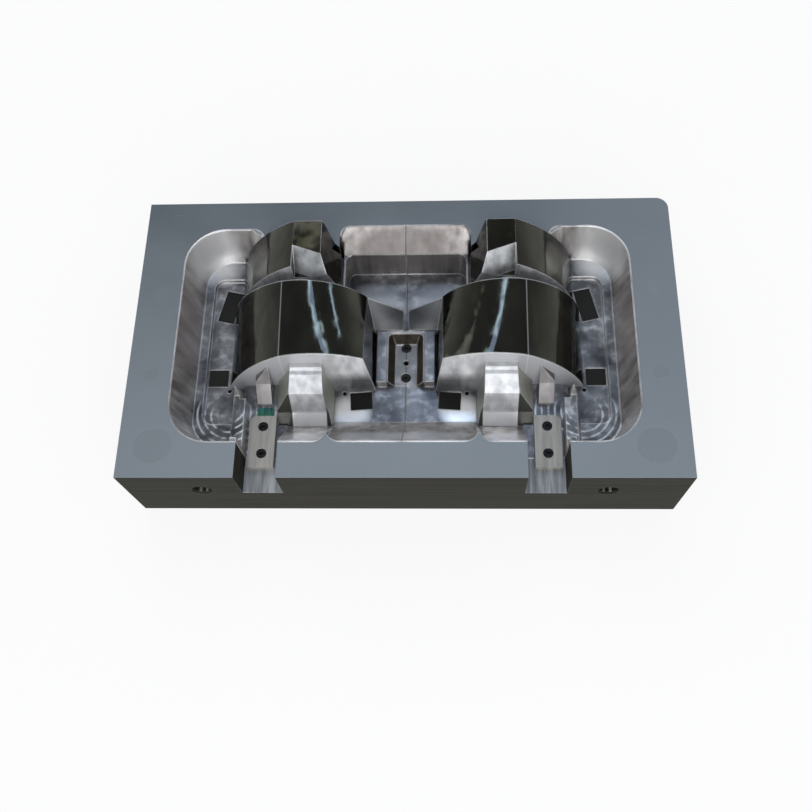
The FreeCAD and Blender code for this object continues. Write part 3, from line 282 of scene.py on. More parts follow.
FACE_LIT_AND_SHADED_TONES = (linear("#8E969C"), linear("#636A70"))
OILED_TONES = (linear("#1A1914"), linear("#2B2A22"))
BARE_TONES = (linear("#8A8F93"), linear("#A2A7AB"))
PLATE = ground_steel("surface_ground_tool_steel", FACE_LIT_AND_SHADED_TONES, OILED_TONES)
PAD = ground_steel("surface_ground_pad_steel", FACE_LIT_AND_SHADED_TONES, OILED_TONES, INSET_SHADE)
RETURN_PIN = ground_steel("ground_return_pin_steel", FACE_LIT_AND_SHADED_TONES, BARE_TONES, INSET_SHADE,
                          oiled=False)
print(PLATE.name, PAD.name, RETURN_PIN.name)

# %% [markdown]
# ## Cutter rings
#
# The inserts are cut with ball and flat end mills.  Each pass leaves a shallow
# track, and near a corner the tracks run in rings round it.  They are pale, as
# the ridge between two tracks catches the light, and broken up by finer flecks.
# The rings are about 2 mm apart on the real steel and are drawn 9.5 mm apart, to
# show.

# %% Rings in the front corner of an end bay
RING_CENTRE = (262 * MM, -100 * MM, 0.0)
RING_PITCH = 9.5 * MM


def corner_rings(tree, place, at, flecks):
    """Mask of the rings; place has its X counted outward from the centre line."""
    in_plan = add(tree, "VectorMath", {0: place, 1: (1.0, 1.0, 0.0)}, operation="MULTIPLY")
    reach = add(tree, "VectorMath", {0: in_plan, 1: RING_CENTRE}, operation="DISTANCE")
    turns = add(tree, "Math", {0: reach, 1: math.tau / RING_PITCH}, operation="MULTIPLY")
    wave = add(tree, "Math", {0: turns}, operation="SINE")
    rings = add(tree, "MapRange", {"Value": wave, "From Min": 0.2, "From Max": 0.95,
                                   "To Max": 0.9})
    for value, low, high in ((reach, 20 * MM, 30 * MM), (reach, 80 * MM, 70 * MM),
                             (at["Y"], -75 * MM, -100 * MM), (flecks, 0.38, 0.55)):
        limit = add(tree, "MapRange", {"Value": value, "From Min": low, "From Max": high})
        rings = add(tree, "Math", {0: rings, 1: limit}, operation="MULTIPLY")
    return rings


print("rings", round(RING_PITCH / MM, 1), "mm apart")

# %% [markdown]
# ## Painted sheens
#
# Soft round patches paint pools of light and sheens on fillets, ramps, floors
# and walls, and one darker patch paints shade over the middle of the rear wall.
# A patch is an ellipsoid: its mask comes from the distance to a centre, with each
# axis divided by its own reach.

# %% Patches on the inserts
# Centre and reach along X, Y and Z in mm, colour, and strength
PAINTED_SHEENS_AND_SHADE = (
    ((300, 150, 125), (55, 50, 70), "#FFFFFF", 0.9),
    ((83, -92, 85), (36, 34, 100), "#FFFFFF", 1.0),
    ((40, -160, 110), (65, 22, 100), "#E0E3E8", 0.8),
    ((145, -160, 110), (40, 20, 100), "#E0E3E8", 0.7),
    ((0, 160, 120), (110, 40, 80), "#66615F", 0.85),
    ((50, 95, 80), (50, 40, 100), "#B8BBBF", 0.7),
    ((335, 20, 115), (30, 80, 50), "#BDB3B1", 0.6),
)


def soft_patch(tree, place, centre_mm, reach_mm, strength):
    """Mask that is full round a centre on either half, and 0 past its reach."""
    centre, reach = (Vector(part) * MM for part in (centre_mm, reach_mm))
    offset = add(tree, "VectorMath", {0: place, 1: centre}, operation="SUBTRACT")
    share = add(tree, "VectorMath", {0: offset, 1: reach}, operation="DIVIDE")
    squared = add(tree, "VectorMath", {0: share, 1: share}, operation="DOT_PRODUCT")
    return add(tree, "MapRange", {"Value": squared, "From Min": 1.0, "From Max": 0.25,
                                  "To Max": strength})


print(len(PAINTED_SHEENS_AND_SHADE), "patches on each half")

# %% [markdown]
# ## Milled floors and walls
#
# On a floor the tracks of the cutter run together into light and dark blotches
# about 40 mm wide, partly tool marks and partly painted reflection, and painted
# glints lie on the light ones.  The tall walls show streaks from top to bottom,
# partly cut by the side of the tool and partly painted reflection, and a brown
# film of old oil.  The walls are painted lighter than the floors, as painted
# light.  Real flecks and streaks are 1 to 2 mm wide.  They would be lost from
# here, so the flecks are drawn 12 mm wide and the streaks 14 mm.

# %% Floor and wall tones
BLOTCH_MM = (45.5, 38.5, 38.5)
FLECK_MM = (13.3, 11.8, 11.8)
WALL_STREAK_MM = (14.3, 14.3, 166.7)
OIL_FILM_MM = (111.1, 111.1, 62.5)


def milled_floor(tree, tones, patches, flecks, rings):
    # blotches: tool marks and painted reflection
    blotches_and_sheen = add(tree, "MapRange", {"Value": patches, "From Min": 0.36, "From Max": 0.66})
    tone = add(tree, "Mix", {"Factor": blotches_and_sheen, FIRST: tones[0], SECOND: tones[1]},
               data_type="RGBA")
    # painted glints on the light blotches
    bright = add(tree, "MapRange", {"Value": flecks, "From Min": 0.48, "From Max": 0.78,
                                    "To Max": 0.7})
    on_light_blotch = add(tree, "MapRange", {"Value": patches, "From Min": 0.40, "From Max": 0.60})
    glint = add(tree, "Math", {0: bright, 1: on_light_blotch}, operation="MULTIPLY")
    for mask, colour in ((glint, "#D9DBDD"), (rings, "#E6EBF0")):
        tone = add(tree, "Mix", {"Factor": mask, FIRST: tone, SECOND: linear(colour)},
                   data_type="RGBA")
    return tone


def milled_wall(tree, point, tones):
    # streaks: side-milling marks and painted reflection
    streaks = add(tree, "MapRange", {"Value": lumps(tree, point, WALL_STREAK_MM, 4.0),
                                     "From Min": 0.33, "From Max": 0.66})
    tone = add(tree, "Mix", {"Factor": streaks, FIRST: tones[0], SECOND: tones[1]},
               data_type="RGBA")
    oil = add(tree, "MapRange", {"Value": lumps(tree, point, OIL_FILM_MM),
                                 "From Min": 0.45, "From Max": 0.7, "To Max": 0.5})
    return add(tree, "Mix", {"Factor": oil, FIRST: tone, SECOND: linear("#5C504B")},
               data_type="RGBA")


# the walls are painted lighter than the floors: painted light
FLOOR_TONES = (linear("#47494D"), linear("#85888C"))
LIT_WALL_TONES = (linear("#86817E"), linear("#CFCBC9"))
print("darkest floor", [round(part, 3) for part in FLOOR_TONES[0][:3]], "in linear light")

# %% [markdown]
# ## Milled steel
#
# The steel is given as little more than half metal: real milled steel scatters
# light from thousands of small ridges, and the other half of the shader stands
# for that.  The ridges are less than a millimetre apart, so the bumps that stand
# for them are drawn 8 mm wide.  Edges are broken by about half a millimetre and
# carry a painted highlight drawn up to 4 mm wide, stronger in some places than in
# others.  A dark line marks the seam where the two inserts meet.

# %% Insert and runner block steel
RIDGE_MM = (8.33, 8.33, 16.7)


def milled_steel(name, floor_tones, wall_tones):
    """The first and second of each pair are the darker and the lighter tone."""
    material, tree = empty_material(name)
    point, at = place_of(tree)
    across = add(tree, "Math", {0: at["X"]}, operation="ABSOLUTE")
    place = add(tree, "CombineXYZ", {"X": across, "Y": at["Y"], "Z": at["Z"]})
    patches = lumps(tree, point, BLOTCH_MM, 4.0)
    flecks = lumps(tree, point, FLECK_MM)
    rings = corner_rings(tree, place, at, flecks)

    floor = add(tree, "MapRange", {"Value": facing(tree)["Z"], "From Min": 0.90, "From Max": 0.99})
    tone = add(tree, "Mix", {"Factor": floor, FIRST: milled_wall(tree, point, wall_tones),
                             SECOND: milled_floor(tree, floor_tones, patches, flecks, rings)},
               data_type="RGBA")
    # painted sheens, and one painted shade on the rear wall
    for centre_mm, reach_mm, colour, strength in PAINTED_SHEENS_AND_SHADE:
        patch = soft_patch(tree, place, centre_mm, reach_mm, strength)
        tone = add(tree, "Mix", {"Factor": patch, FIRST: tone, SECOND: linear(colour)},
                   data_type="RGBA")
    seam = add(tree, "MapRange", {"Value": across, "From Min": 1.0 * MM, "From Max": 0.5 * MM,
                                  "To Max": 0.8})
    # painted highlight on the broken edges, patchy
    edge, rounded = edges(tree, 4.0 * MM, 0.85)
    highlight_patchiness = add(tree, "MapRange", {"Value": patches, "From Min": 0.15, "From Max": 0.5})
    rim = add(tree, "Math", {0: edge, 1: highlight_patchiness}, operation="MULTIPLY")
    for mask, colour in ((seam, "#23221F"), (rim, "#F8FAFC")):
        tone = add(tree, "Mix", {"Factor": mask, FIRST: tone, SECOND: linear(colour)},
                   data_type="RGBA")

    rough = add(tree, "MapRange", {"Value": patches, "To Min": 0.22, "To Max": 0.40})
    ridges = lumps(tree, point, RIDGE_MM)
    bump = add(tree, "Bump", {"Height": ridges, "Strength": 0.25, "Distance": 0.5 * MM,
                              "Normal": rounded})
    steel = add(tree, "BsdfPrincipled", {"Base Color": tone, "Roughness": rough, "Metallic": 0.6,
                                         "Normal": bump})
    add(tree, "OutputMaterial", {"Surface": steel})
    return material


INSERT = milled_steel("end_milled_mould_steel", FLOOR_TONES, LIT_WALL_TONES)
RUNNER = milled_steel("end_milled_runner_steel", (linear("#6C6B68"), linear("#8E8D8A")),
                      (linear("#3A342B"), linear("#5C554A")))
print(INSERT.name, RUNNER.name)

# %% [markdown]
# ## Diamond polish and stoned satin
#
# The arches shape the shiny side of the moulding, so they are worked down to a
# mirror with diamond paste.  A mirror shows its room: the big curved panels pick
# up a dim ceiling, with the lamps as thin pale streaks, and the polished steel's
# own colour is painted a dark olive, a painted reflection of that dim room.  Hand
# polishing is never quite even, and its smears, 30 to 80 mm long, show as two
# tones.  Faces that only close against other steel are rubbed with a stone
# instead and read as bright satin.  The scratches of a stone are finer than a
# hair, so its grain is drawn as clouds 17 mm wide.  Stoned faces are found by the
# way they look.

# %% Stoned faces and marks of the hand
SMEAR_MM = (33.3, 83.3, 83.3)
GRAIN_MM = (16.7, 16.7, 40.0)
STONED_TONES = (linear("#B4B6B8"), linear("#F4F5F6"))


def stoned_faces(tree, aim, spread):
    """Mask of the faces that look to the front, or near the aim, from spread[0] to spread[1]."""
    normal = add(tree, "NewGeometry").outputs["True Normal"]
    towards = add(tree, "VectorMath", {0: normal, 1: aim}, operation="DOT_PRODUCT")
    near = add(tree, "MapRange", {"Value": towards, "From Min": spread[0], "From Max": spread[1]})
    front = add(tree, "MapRange", {"Value": facing(tree)["Y"], "From Min": -0.90,
                                   "From Max": -0.95})
    return add(tree, "Math", {0: near, 1: front}, operation="MAXIMUM")


def hand_marks(tree, point, polish_tones, stoned_tones):
    """Smears of the polish and grain of the stone, and the tone that each gives."""
    smears = lumps(tree, point, SMEAR_MM, 4.0)
    share = add(tree, "MapRange", {"Value": smears, "From Min": 0.35, "From Max": 0.75})
    polish_tone = add(tree, "Mix", {"Factor": share, FIRST: polish_tones[0],
                                    SECOND: polish_tones[1]}, data_type="RGBA")
    grain = lumps(tree, point, GRAIN_MM, 4.0)
    share = add(tree, "MapRange", {"Value": grain, "From Min": 0.3, "From Max": 0.7})
    stoned_tone = add(tree, "Mix", {"Factor": share, FIRST: stoned_tones[0],
                                    SECOND: stoned_tones[1]}, data_type="RGBA")
    return smears, polish_tone, grain, stoned_tone


print("stoned steel runs from", *(round(tone[0], 2) for tone in STONED_TONES), "in linear light")

# %% [markdown]
# ## The two finishes together
#
# Each finish is one shader, and a mask chooses between the two.  A slow wave in
# the polished surface bends the reflections of the lamps, and a thin clear coat
# sharpens them.  Every broken edge shows the satin, whatever is beside it, with a
# painted highlight on it.

# %% Core steel shaders
POLISH_ROUGH = (0.06, 0.16)
WAVE_MM = (50.0, 71.4, 71.4)


def close_core(tree, point, stoned, edge, rounded, marks, metallic=1.0, coat=0.4,
               rough=POLISH_ROUGH):
    """Polished steel, with stoned satin where the mask says and on broken edges."""
    smears, polish_tone, grain, stoned_tone = marks
    slow_wave = add(tree, "Bump", {"Height": lumps(tree, point, WAVE_MM, 2.0),
                                   "Strength": 0.9, "Distance": 4.0 * MM, "Normal": rounded})
    rough_here = add(tree, "MapRange", {"Value": smears, "To Min": rough[0], "To Max": rough[1]})
    polished = add(tree, "BsdfPrincipled", {"Base Color": polish_tone, "Roughness": rough_here,
                                            "Metallic": metallic, "Coat Weight": coat,
                                            "Coat Roughness": 0.05, "Normal": slow_wave})
    scratches = add(tree, "Bump", {"Height": grain, "Strength": 0.2, "Distance": 0.4 * MM,
                                   "Normal": rounded})
    # painted highlight on the edges
    stoned_tone = add(tree, "Mix", {"Factor": edge, FIRST: stoned_tone,
                                    SECOND: linear("#F2F4F6")}, data_type="RGBA")
    satin = add(tree, "BsdfPrincipled", {"Base Color": stoned_tone, "Roughness": 0.33,
                                         "Metallic": 0.35, "Normal": scratches})
    highlit_edge = add(tree, "Math", {0: edge, 1: 0.85}, operation="MULTIPLY")
    shown = add(tree, "Math", {0: stoned, 1: highlit_edge}, operation="MAXIMUM")
    both = add(tree, "MixShader", {0: shown, 1: polished, 2: satin})
    add(tree, "OutputMaterial", {"Surface": both})


print("polish is", POLISH_ROUGH[0], "to", POLISH_ROUGH[1], "rough")

# %% [markdown]
# ## The front of an arch
#
# The flat front face of an arch closes against the other half and is stoned.
# Its outer part is an even grey, and it darkens low down near the centre.  The
# wing that runs down to the seam is stoned too, and duller.
# No box gives the lines between these, so they are typed in.

# %% Tones of the stoned parts of an arch
OUTER_FRONT_X = (95 * MM, 125 * MM)
LOW_DARK_FRONT_Z = (120 * MM, 95 * MM)


def arch_front(tree, at, across, wing, tone):
    outer = add(tree, "MapRange", {"Value": across, "From Min": OUTER_FRONT_X[0],
                                   "From Max": OUTER_FRONT_X[1]})
    inner = add(tree, "MapRange", {"Value": across, "From Min": OUTER_FRONT_X[1],
                                   "From Max": OUTER_FRONT_X[0]})
    low = add(tree, "MapRange", {"Value": at["Z"], "From Min": LOW_DARK_FRONT_Z[0],
                                 "From Max": LOW_DARK_FRONT_Z[1], "To Max": 0.75})
    low_inner_dark = add(tree, "Math", {0: low, 1: inner}, operation="MULTIPLY")
    for mask, colour in ((wing, "#7E8084"), (outer, "#C2C3C7"), (low_inner_dark, "#2B2C2D")):
        tone = add(tree, "Mix", {"Factor": mask, FIRST: tone, SECOND: linear(colour)},
                   data_type="RGBA")
    return tone


print("oil gathers below", round(LOW_DARK_FRONT_Z[0] / MM), "mm")

# %% [markdown]
# ## Arches
#
# An arch has a crease where the big panel turns into the flank, a groove behind
# the panel, and the wing.  Only the panel and the flanks are mirrors.  The crease
# carries a painted highlight line; it is too slight for the edge mask, so it is
# drawn by its distance from the centre line.  These lines too are typed in from
# the sizes of the CAD model.

# %% Arch steel
CREASE_X = 178 * MM
GROOVE_Y = 66.6 * MM
WING_END_X = 56.5 * MM
# painted reflection: the polished steel is coloured a dark olive
DARK_REFLECTION_TONES = (linear("#26271F"), linear("#3C3D33"))
ARCH_AIM = (0.0, -0.995, 0.1)


def arch_steel(name):
    material, tree = empty_material(name)
    point, at = place_of(tree)
    across = add(tree, "Math", {0: at["X"]}, operation="ABSOLUTE")
    smears, polish_tone, grain, stoned_tone = hand_marks(tree, point, DARK_REFLECTION_TONES, STONED_TONES)

    up = add(tree, "MapRange", {"Value": facing(tree)["Z"], "From Min": 0.2, "From Max": 0.3})
    near_seam = add(tree, "MapRange", {"Value": across, "From Min": WING_END_X,
                                       "From Max": WING_END_X - 1.0 * MM})
    wing = add(tree, "Math", {0: up, 1: near_seam}, operation="MULTIPLY")
    groove = add(tree, "MapRange", {"Value": at["Y"], "From Min": GROOVE_Y - 0.3 * MM,
                                    "From Max": GROOVE_Y})
    stoned = stoned_faces(tree, ARCH_AIM, (0.90, 0.93))
    for mask in (wing, groove):
        stoned = add(tree, "Math", {0: stoned, 1: mask}, operation="MAXIMUM")

    edge, rounded = edges(tree, 3.0 * MM)
    side = add(tree, "Math", {0: across, 1: CREASE_X}, operation="SUBTRACT")
    off = add(tree, "Math", {0: side}, operation="ABSOLUTE")
    # painted highlight line along the crease
    crease_highlight = add(tree, "MapRange", {"Value": off, "From Min": 1.3 * MM, "From Max": 0.4 * MM,
                                    "To Max": 0.35})
    edge = add(tree, "Math", {0: edge, 1: crease_highlight}, operation="MAXIMUM")

    stoned_tone = arch_front(tree, at, across, wing, stoned_tone)
    close_core(tree, point, stoned, edge, rounded, (smears, polish_tone, grain, stoned_tone))
    return material


ARCH = arch_steel("diamond_polished_arch_steel")
print(ARCH.name)

# %% [markdown]
# ## Noses
#
# The front lobes are stepped noses that close against the other half, so their
# front slopes are stoned.  The flanks beside those slopes are only polished with
# a coarser paste: they are rougher than the arches, and as a worn, dull steel
# they are shaded as one third metal.  Facets beside the slopes that look the
# same way are drawn nearly black.  The slope at the foot carries a painted
# highlight that makes it brightest.

# %% Nose steel
CHEEK_X = 167 * MM
INNER_X = 115 * MM
FOOT_Z = 90 * MM
SLOPE_AIM = (0.0, -0.79, 0.61)
SLOPE_SPREAD = (0.5, 0.7)
SLOPE_TONES = (linear("#ACAEB1"), linear("#EEF0F2"))
FLANK_TONES = (linear("#A0A197"), linear("#BEBFB5"))


def nose_steel(name):
    material, tree = empty_material(name)
    point, at = place_of(tree)
    across = add(tree, "Math", {0: at["X"]}, operation="ABSOLUTE")
    smears, polish_tone, grain, stoned_tone = hand_marks(tree, point, FLANK_TONES, SLOPE_TONES)

    cheek = add(tree, "MapRange", {"Value": across, "From Min": CHEEK_X - 1.0 * MM,
                                   "From Max": CHEEK_X})
    inner = add(tree, "MapRange", {"Value": across, "From Min": INNER_X + 1.0 * MM,
                                   "From Max": INNER_X})
    beside = add(tree, "Math", {0: cheek, 1: inner}, operation="MAXIMUM")
    between = add(tree, "MapRange", {"Value": beside, "To Min": 1.0, "To Max": 0.0})
    slopes = stoned_faces(tree, SLOPE_AIM, SLOPE_SPREAD)
    stoned = add(tree, "Math", {0: slopes, 1: between}, operation="MULTIPLY")
    shaded = add(tree, "Math", {0: slopes, 1: beside}, operation="MULTIPLY")
    shaded = add(tree, "Math", {0: shaded, 1: 0.9}, operation="MULTIPLY")
    polish_tone = add(tree, "Mix", {"Factor": shaded, FIRST: polish_tone,
                                    SECOND: linear("#24251F")}, data_type="RGBA")
    # painted highlight: the slope at the foot is brightened
    foot = add(tree, "MapRange", {"Value": at["Z"], "From Min": FOOT_Z + 6.0 * MM,
                                  "From Max": FOOT_Z, "To Max": 0.8})
    stoned_tone = add(tree, "Mix", {"Factor": foot, FIRST: stoned_tone,
                                    SECOND: linear("#FFFFFF")}, data_type="RGBA")
    edge, rounded = edges(tree, 1.8 * MM)
    close_core(tree, point, stoned, edge, rounded, (smears, polish_tone, grain, stoned_tone),
               metallic=0.35, coat=0.0, rough=(0.30, 0.42))
    return material


NOSE = nose_steel("stoned_nose_steel")
print(NOSE.name)

# %% [markdown]
# ## Rear lobes and shut-off blocks
#
# A rear lobe is polished but for its window, a flat turned 20 degrees outward
# that closes against the other half.  Left and right windows turn opposite ways,
# so each lobe has its own copy of the material.  A shut-off block is stoned all
# over its slopes, and is a greyer, warmer steel than the lobes.

# %% Lobe and shut-off steel
WINDOW_TURN = math.radians(20.0)
WINDOW_RISE = 0.84


def closing_steel(name, aim, polish_tones, stoned_tones, spread, metallic):
    """Polished steel with stoned satin on the faces that look along the aim."""
    material, tree = empty_material(name)
    point = add(tree, "TexCoord").outputs["Object"]
    edge, rounded = edges(tree, 1.8 * MM)
    marks = hand_marks(tree, point, [linear(code) for code in polish_tones],
                       [linear(code) for code in stoned_tones])
    close_core(tree, point, stoned_faces(tree, aim, spread), edge, rounded, marks, metallic)
    return material


SHUT = closing_steel("stoned_shutoff_steel", SLOPE_AIM, ("#5B5955", "#7B7874"),
                     ("#7C7A7A", "#A5A1A2"), SLOPE_SPREAD, 0.5)
LOBES = {}
for tag, side in (("left", -1), ("right", 1)):
    window = Vector((math.sin(WINDOW_TURN) * side, -math.cos(WINDOW_TURN), WINDOW_RISE))
    # the polish tones are a painted dark reflection
    LOBES[tag] = closing_steel("diamond_polished_lobe_steel_" + tag, tuple(window.normalized()),
                               ("#232219", "#3C3B31"), ("#6A6C6E", "#C2C4C6"), (0.90, 0.93), 1.0)
print(SHUT.name, [material.name for material in LOBES.values()])

# %% [markdown]
# ## Small hardened pieces
#
# Wear plates are through-hardened and ground from front to rear.  The ejector
# blocks are nitrided, a furnace treatment that turns steel a dead, dry black.
# Socket screws come with black oxide.  Pins are bright drawn and ground round;
# the small ones in the pocket are dark with use.  One graph serves them all:
# two tones of grain, and an edge painted bright as a highlight.  The real grain
# of each is far below a millimetre, so it is drawn 3 to 17 mm wide.

# %% Wear plate, nitrided, black oxide and pin steels
def plain_steel(name, tones, rough, grain_mm, metallic=1.0, edge_highlight_share=0.5, edge_highlight_colour="#D8DADB"):
    """grain_mm is the size of the grain along X, Y and Z."""
    material, tree = empty_material(name)
    point = add(tree, "TexCoord").outputs["Object"]
    grain = lumps(tree, point, grain_mm, 4.0)
    share = add(tree, "MapRange", {"Value": grain, "From Min": 0.34, "From Max": 0.68})
    tone = add(tree, "Mix", {"Factor": share, FIRST: linear(tones[0]), SECOND: linear(tones[1])},
               data_type="RGBA")
    # painted highlight on the edges
    edge, rounded = edges(tree, 0.7 * MM, edge_highlight_share)
    tone = add(tree, "Mix", {"Factor": edge, FIRST: tone, SECOND: linear(edge_highlight_colour)},
               data_type="RGBA")
    rough_here = add(tree, "MapRange", {"Value": grain, "To Min": rough[0], "To Max": rough[1]})
    bump = add(tree, "Bump", {"Height": grain, "Strength": 0.1, "Distance": 0.2 * MM,
                              "Normal": rounded})
    steel = add(tree, "BsdfPrincipled", {"Base Color": tone, "Roughness": rough_here,
                                         "Metallic": metallic, "Normal": bump})
    add(tree, "OutputMaterial", {"Surface": steel})
    return material


WEAR_STEEL = plain_steel("hardened_ground_wear_steel", ("#9D9A94", "#B9B6AF"), (0.4, 0.55),
                         (6.25, 83.3, 16.7), metallic=0.6)
NITRIDED = plain_steel("nitrided_ejector_steel", ("#0E0E0C", "#171714"), (0.7, 0.85),
                       (16.7, 16.7, 16.7), metallic=0.1, edge_highlight_share=0.15, edge_highlight_colour="#55554E")
BLACK_OXIDE = plain_steel("black_oxide_screw_steel", ("#1B1B1B", "#3A3A3A"), (0.3, 0.5),
                          (3.33, 3.33, 3.33), edge_highlight_share=0.4, edge_highlight_colour="#8A8C8E")
PIN_STEEL = plain_steel("ground_pin_steel", ("#7A7F83", "#8A8F93"), (0.3, 0.45),
                        (6.67, 6.67, 50.0), edge_highlight_share=0.2)
DARK_PIN = plain_steel("worn_pin_steel", ("#191919", "#2A2A2A"), (0.4, 0.6),
                       (6.67, 6.67, 50.0), edge_highlight_share=0.1)
print(WEAR_STEEL.name, NITRIDED.name, BLACK_OXIDE.name, PIN_STEEL.name, DARK_PIN.name)

# %% [markdown]
# ## Giving the solids their finish
#
# Each solid keeps its shape and only gets its material.  A dictionary from the
# start of a name to a material covers the mirrored pieces in one go.  The first
# entry that fits is taken, so screws stand before the piece that they hold.

# %% Materials on the CAD solids
FINISH = {
    "mould_plate": PLATE,
    "parting_pads": PAD,
    "core_insert": INSERT,
    "runner_block_screws": BLACK_OXIDE,
    "runner_block": RUNNER,
    "arch_core": ARCH,
    "rear_lobe_core_left": LOBES["left"],
    "rear_lobe_core_right": LOBES["right"],
    "front_lobe_core": NOSE,
    "shutoff_block": SHUT,
    "wear_plate_screws": BLACK_OXIDE,
    "wear_plate": WEAR_STEEL,
    "ejector_block": NITRIDED,
    "ejector_rod": PIN_STEEL,
    "ejector_pin": DARK_PIN,
    "sprue_puller": DARK_PIN,
    "return_pin": RETURN_PIN,
    "insert_screws": BLACK_OXIDE,
}
for name, piece in nodes.items():
    start = next(key for key in FINISH if name.startswith(key))
    piece.data.materials.clear()
    piece.data.materials.append(FINISH[start])
print("finished", len(nodes), "solids")

# %% [markdown]
# ## Marking paint
#
# Toolmakers brush marking paint on steel to see where the halves touch.  One
# patch is left on the slot floor behind the left wear plate.  It is teal at the
# back and green toward the plate, and dries to a half-gloss film that is no
# metal.  The dark strokes of the bristles are a few tenths of a millimetre wide,
# and are drawn 4 mm wide here, to show.

# %% Paint material
GREEN_DEEP = 14 * MM
STROKE_MM = (3.85, 16.7, 16.7)


def marking_paint(name):
    material, tree = empty_material(name)
    point, at = place_of(tree)
    to_front = add(tree, "MapRange", {"Value": at["Y"], "From Min": wear_high.y + GREEN_DEEP,
                                      "From Max": wear_high.y})
    tone = add(tree, "Mix", {"Factor": to_front, FIRST: linear("#2F8081"),
                             SECOND: linear("#2FA055")}, data_type="RGBA")
    strokes = lumps(tree, point, STROKE_MM)
    share = add(tree, "MapRange", {"Value": strokes, "From Min": 0.35, "From Max": 0.7})
    tone = add(tree, "Mix", {"Factor": share, FIRST: tone, SECOND: linear("#17402F")},
               data_type="RGBA")
    bump = add(tree, "Bump", {"Height": strokes, "Strength": 0.3, "Distance": 0.3 * MM})
    film = add(tree, "BsdfPrincipled", {"Base Color": tone, "Roughness": 0.35, "Metallic": 0.0,
                                        "Normal": bump})
    add(tree, "OutputMaterial", {"Surface": film})
    return material


PAINT = marking_paint("marking_paint_brushed")
print(PAINT.name)

# %% [markdown]
# ## The paint film
#
# The film is a fifth of a millimetre thick.  Its outline starts as a rounded
# rectangle, a circle whose sine and cosine are each pushed outward by a square
# root, and a seeded random factor makes the rim ragged.  The film lies on the
# plate, so it rides with the plate's body.

# %% Paint patch behind the left wear plate
PATCH_DEEP = 17 * MM
PATCH_THICK = 0.2 * MM
PATCH_GAP = 1.0 * MM
HALF_WIDTH_SHARE = 0.36  # of the wear plate's width
MIDDLE_SHARE = 0.52  # of the way across the wear plate, from its outer side
RIM_POINTS = 28

random.seed(7)
half_x = (wear_high.x - wear_low.x) * HALF_WIDTH_SHARE
half_y = PATCH_DEEP / 2
middle_x = wear_low.x * (1 - MIDDLE_SHARE) + wear_high.x * MIDDLE_SHARE
middle_y = wear_high.y + PATCH_GAP + half_y
rim = []
for number in range(RIM_POINTS):
    turn = math.tau * number / RIM_POINTS
    ragged = random.uniform(0.86, 1.0)
    out_x, out_y = (math.copysign(abs(value) ** 0.5, value)
                    for value in (math.cos(turn), math.sin(turn)))
    rim.append((middle_x + half_x * ragged * out_x, middle_y + half_y * ragged * out_y))

film = bmesh.new()
skin = [film.verts.new((x, y, SLOT + PATCH_THICK)) for x, y in rim]
foot = [film.verts.new((x, y, SLOT)) for x, y in rim]
film.faces.new(skin)
film.faces.new(foot[::-1])
for number in range(RIM_POINTS):
    after = (number + 1) % RIM_POINTS
    film.faces.new((foot[number], foot[after], skin[after], skin[number]))
paint_mesh = bpy.data.meshes.new("marking_paint")
film.to_mesh(paint_mesh)
film.free()
paint_mesh.materials.append(PAINT)
paint = bpy.data.objects.new("marking_paint_left", paint_mesh)
bpy.context.scene.collection.objects.link(paint)
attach(paint, body_of["mould_plate"])
print("marking paint", len(paint_mesh.vertices), "points")

# %% [markdown]
# ## Floor
#
# The block rests on a plain pale floor.  To the eye and in reflections the floor
# is mostly its own glow, so that it stays an even near-white without more light
# on the block.  The rest of it is pale paint, which shows the block's shadow,
# and to every other ray it is paint alone.

# %% Pale floor
FLOOR_HALF = 6.0
GLOW_SHARE = 0.86


def pale_floor(name):
    material, tree = empty_material(name)
    path = add(tree, "LightPath").outputs
    seen = path["Is Camera Ray"]
    for ray in ("Is Glossy Ray", "Is Transmission Ray"):
        seen = add(tree, "Math", {0: seen, 1: path[ray]}, operation="MAXIMUM")
    share = add(tree, "MapRange", {"Value": seen, "To Max": GLOW_SHARE})
    paint = add(tree, "BsdfDiffuse", {"Color": linear("#F2F2F2")})
    glow = add(tree, "Emission", {"Color": linear("#FFFFFF"), "Strength": 1.0})
    both = add(tree, "MixShader", {0: share, 1: paint, 2: glow})
    add(tree, "OutputMaterial", {"Surface": both})
    return material


floor_mesh = bpy.data.meshes.new("floor")
corners = [(x * FLOOR_HALF, y * FLOOR_HALF, 0) for x, y in ((-1, -1), (1, -1), (1, 1), (-1, 1))]
floor_mesh.from_pydata(corners, [], [(0, 1, 2, 3)])
floor_mesh.materials.append(pale_floor("pale_studio_floor"))
floor = bpy.data.objects.new("floor", floor_mesh)
bpy.context.scene.collection.objects.link(floor)
print("floor", 2 * FLOOR_HALF, "m square")
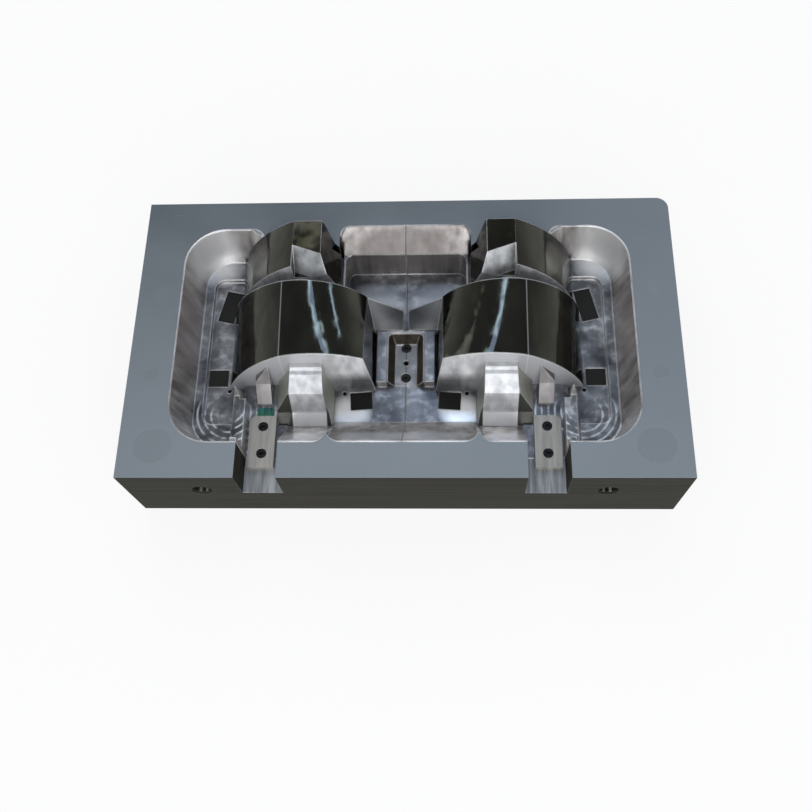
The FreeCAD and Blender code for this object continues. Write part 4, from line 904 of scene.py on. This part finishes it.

# %% [markdown]
# ## Room and lamps
#
# The room is bright near the floor and dim overhead, and the dim ceiling is what
# polished steel shows as dark, together with the painted dark colour of that
# steel.  Two broad soft lamps in front and one behind give the even light.  Two
# small bluish ones behind are seen in the arches as pale streaks.  Powers are in
# watts, places and sizes in metres.

# %% World and lamps
BLOCK_MIDDLE = (0.0, 0.0, 0.1)
LAMPS = (
    ("soft_front", (0.3, -2.6, 3.0), (4.5, 3.0), 62, "#FFFFFF"),
    ("soft_low", (0.2, -3.0, 1.35), (3.0, 0.9), 26, "#FFFFFF"),
    ("soft_rear", (-0.6, 2.4, 2.2), (2.4, 1.6), 24, "#FFFFFF"),
    ("streak_middle", (0.10, 0.85, 2.3), (0.22, 0.30), 2.8, "#BCD4F7"),
    ("streak_side", (1.45, 1.40, 2.3), (0.45, 0.14), 2.6, "#BCD4F7"),
)

world = bpy.data.worlds.new("studio_room")
bpy.context.scene.world = world
world.use_nodes = True
room = world.node_tree
room.nodes.clear()
looking = add(room, "TexCoord").outputs["Generated"]
height = add(room, "SeparateXYZ", {"Vector": looking}).outputs["Z"]
upward = add(room, "MapRange", {"Value": height, "From Min": 0.15, "From Max": 0.75})
shade = add(room, "Mix", {"Factor": upward, FIRST: (0.95, 0.96, 0.98, 1.0),
                          SECOND: (0.30, 0.31, 0.33, 1.0)}, data_type="RGBA")
backdrop = add(room, "Background", {"Color": shade, "Strength": 1.0})
add(room, "OutputWorld", {"Surface": backdrop})

for name, spot, size, watts, tint in LAMPS:
    data = bpy.data.lights.new(name, "AREA")
    data.shape = "RECTANGLE"
    data.size, data.size_y = size
    data.energy = watts
    data.color = linear(tint)[:3]
    lamp = bpy.data.objects.new(name, data)
    lamp.location = spot
    look = Vector(BLOCK_MIDDLE) - Vector(spot)
    lamp.rotation_euler = look.to_track_quat("-Z", "Y").to_euler()
    bpy.context.scene.collection.objects.link(lamp)
print(len(LAMPS), "lamps")

# %% [markdown]
# ## Camera
#
# The camera stands 0.4 m in front of the block and 1.4 m above the floor, and
# looks steeply down, 22.5 degrees off plumb.  Its lens is a little shorter than
# a normal one.  From so near, the front side of the block shows below the face.

# %% Camera
eye = bpy.data.objects.new("camera", bpy.data.cameras.new("camera"))
eye.location = (0.068, -0.627, 1.378)
eye.rotation_euler = Euler([math.radians(angle) for angle in (22.5, 2.57, 0.86)], "XYZ")
eye.data.lens = 41.81
eye.data.sensor_width = 36.0
eye.data.clip_start = 0.05
bpy.context.scene.collection.objects.link(eye)
bpy.context.scene.camera = eye
bpy.context.scene.view_settings.view_transform = "Standard"
print("camera at", tuple(eye.location))
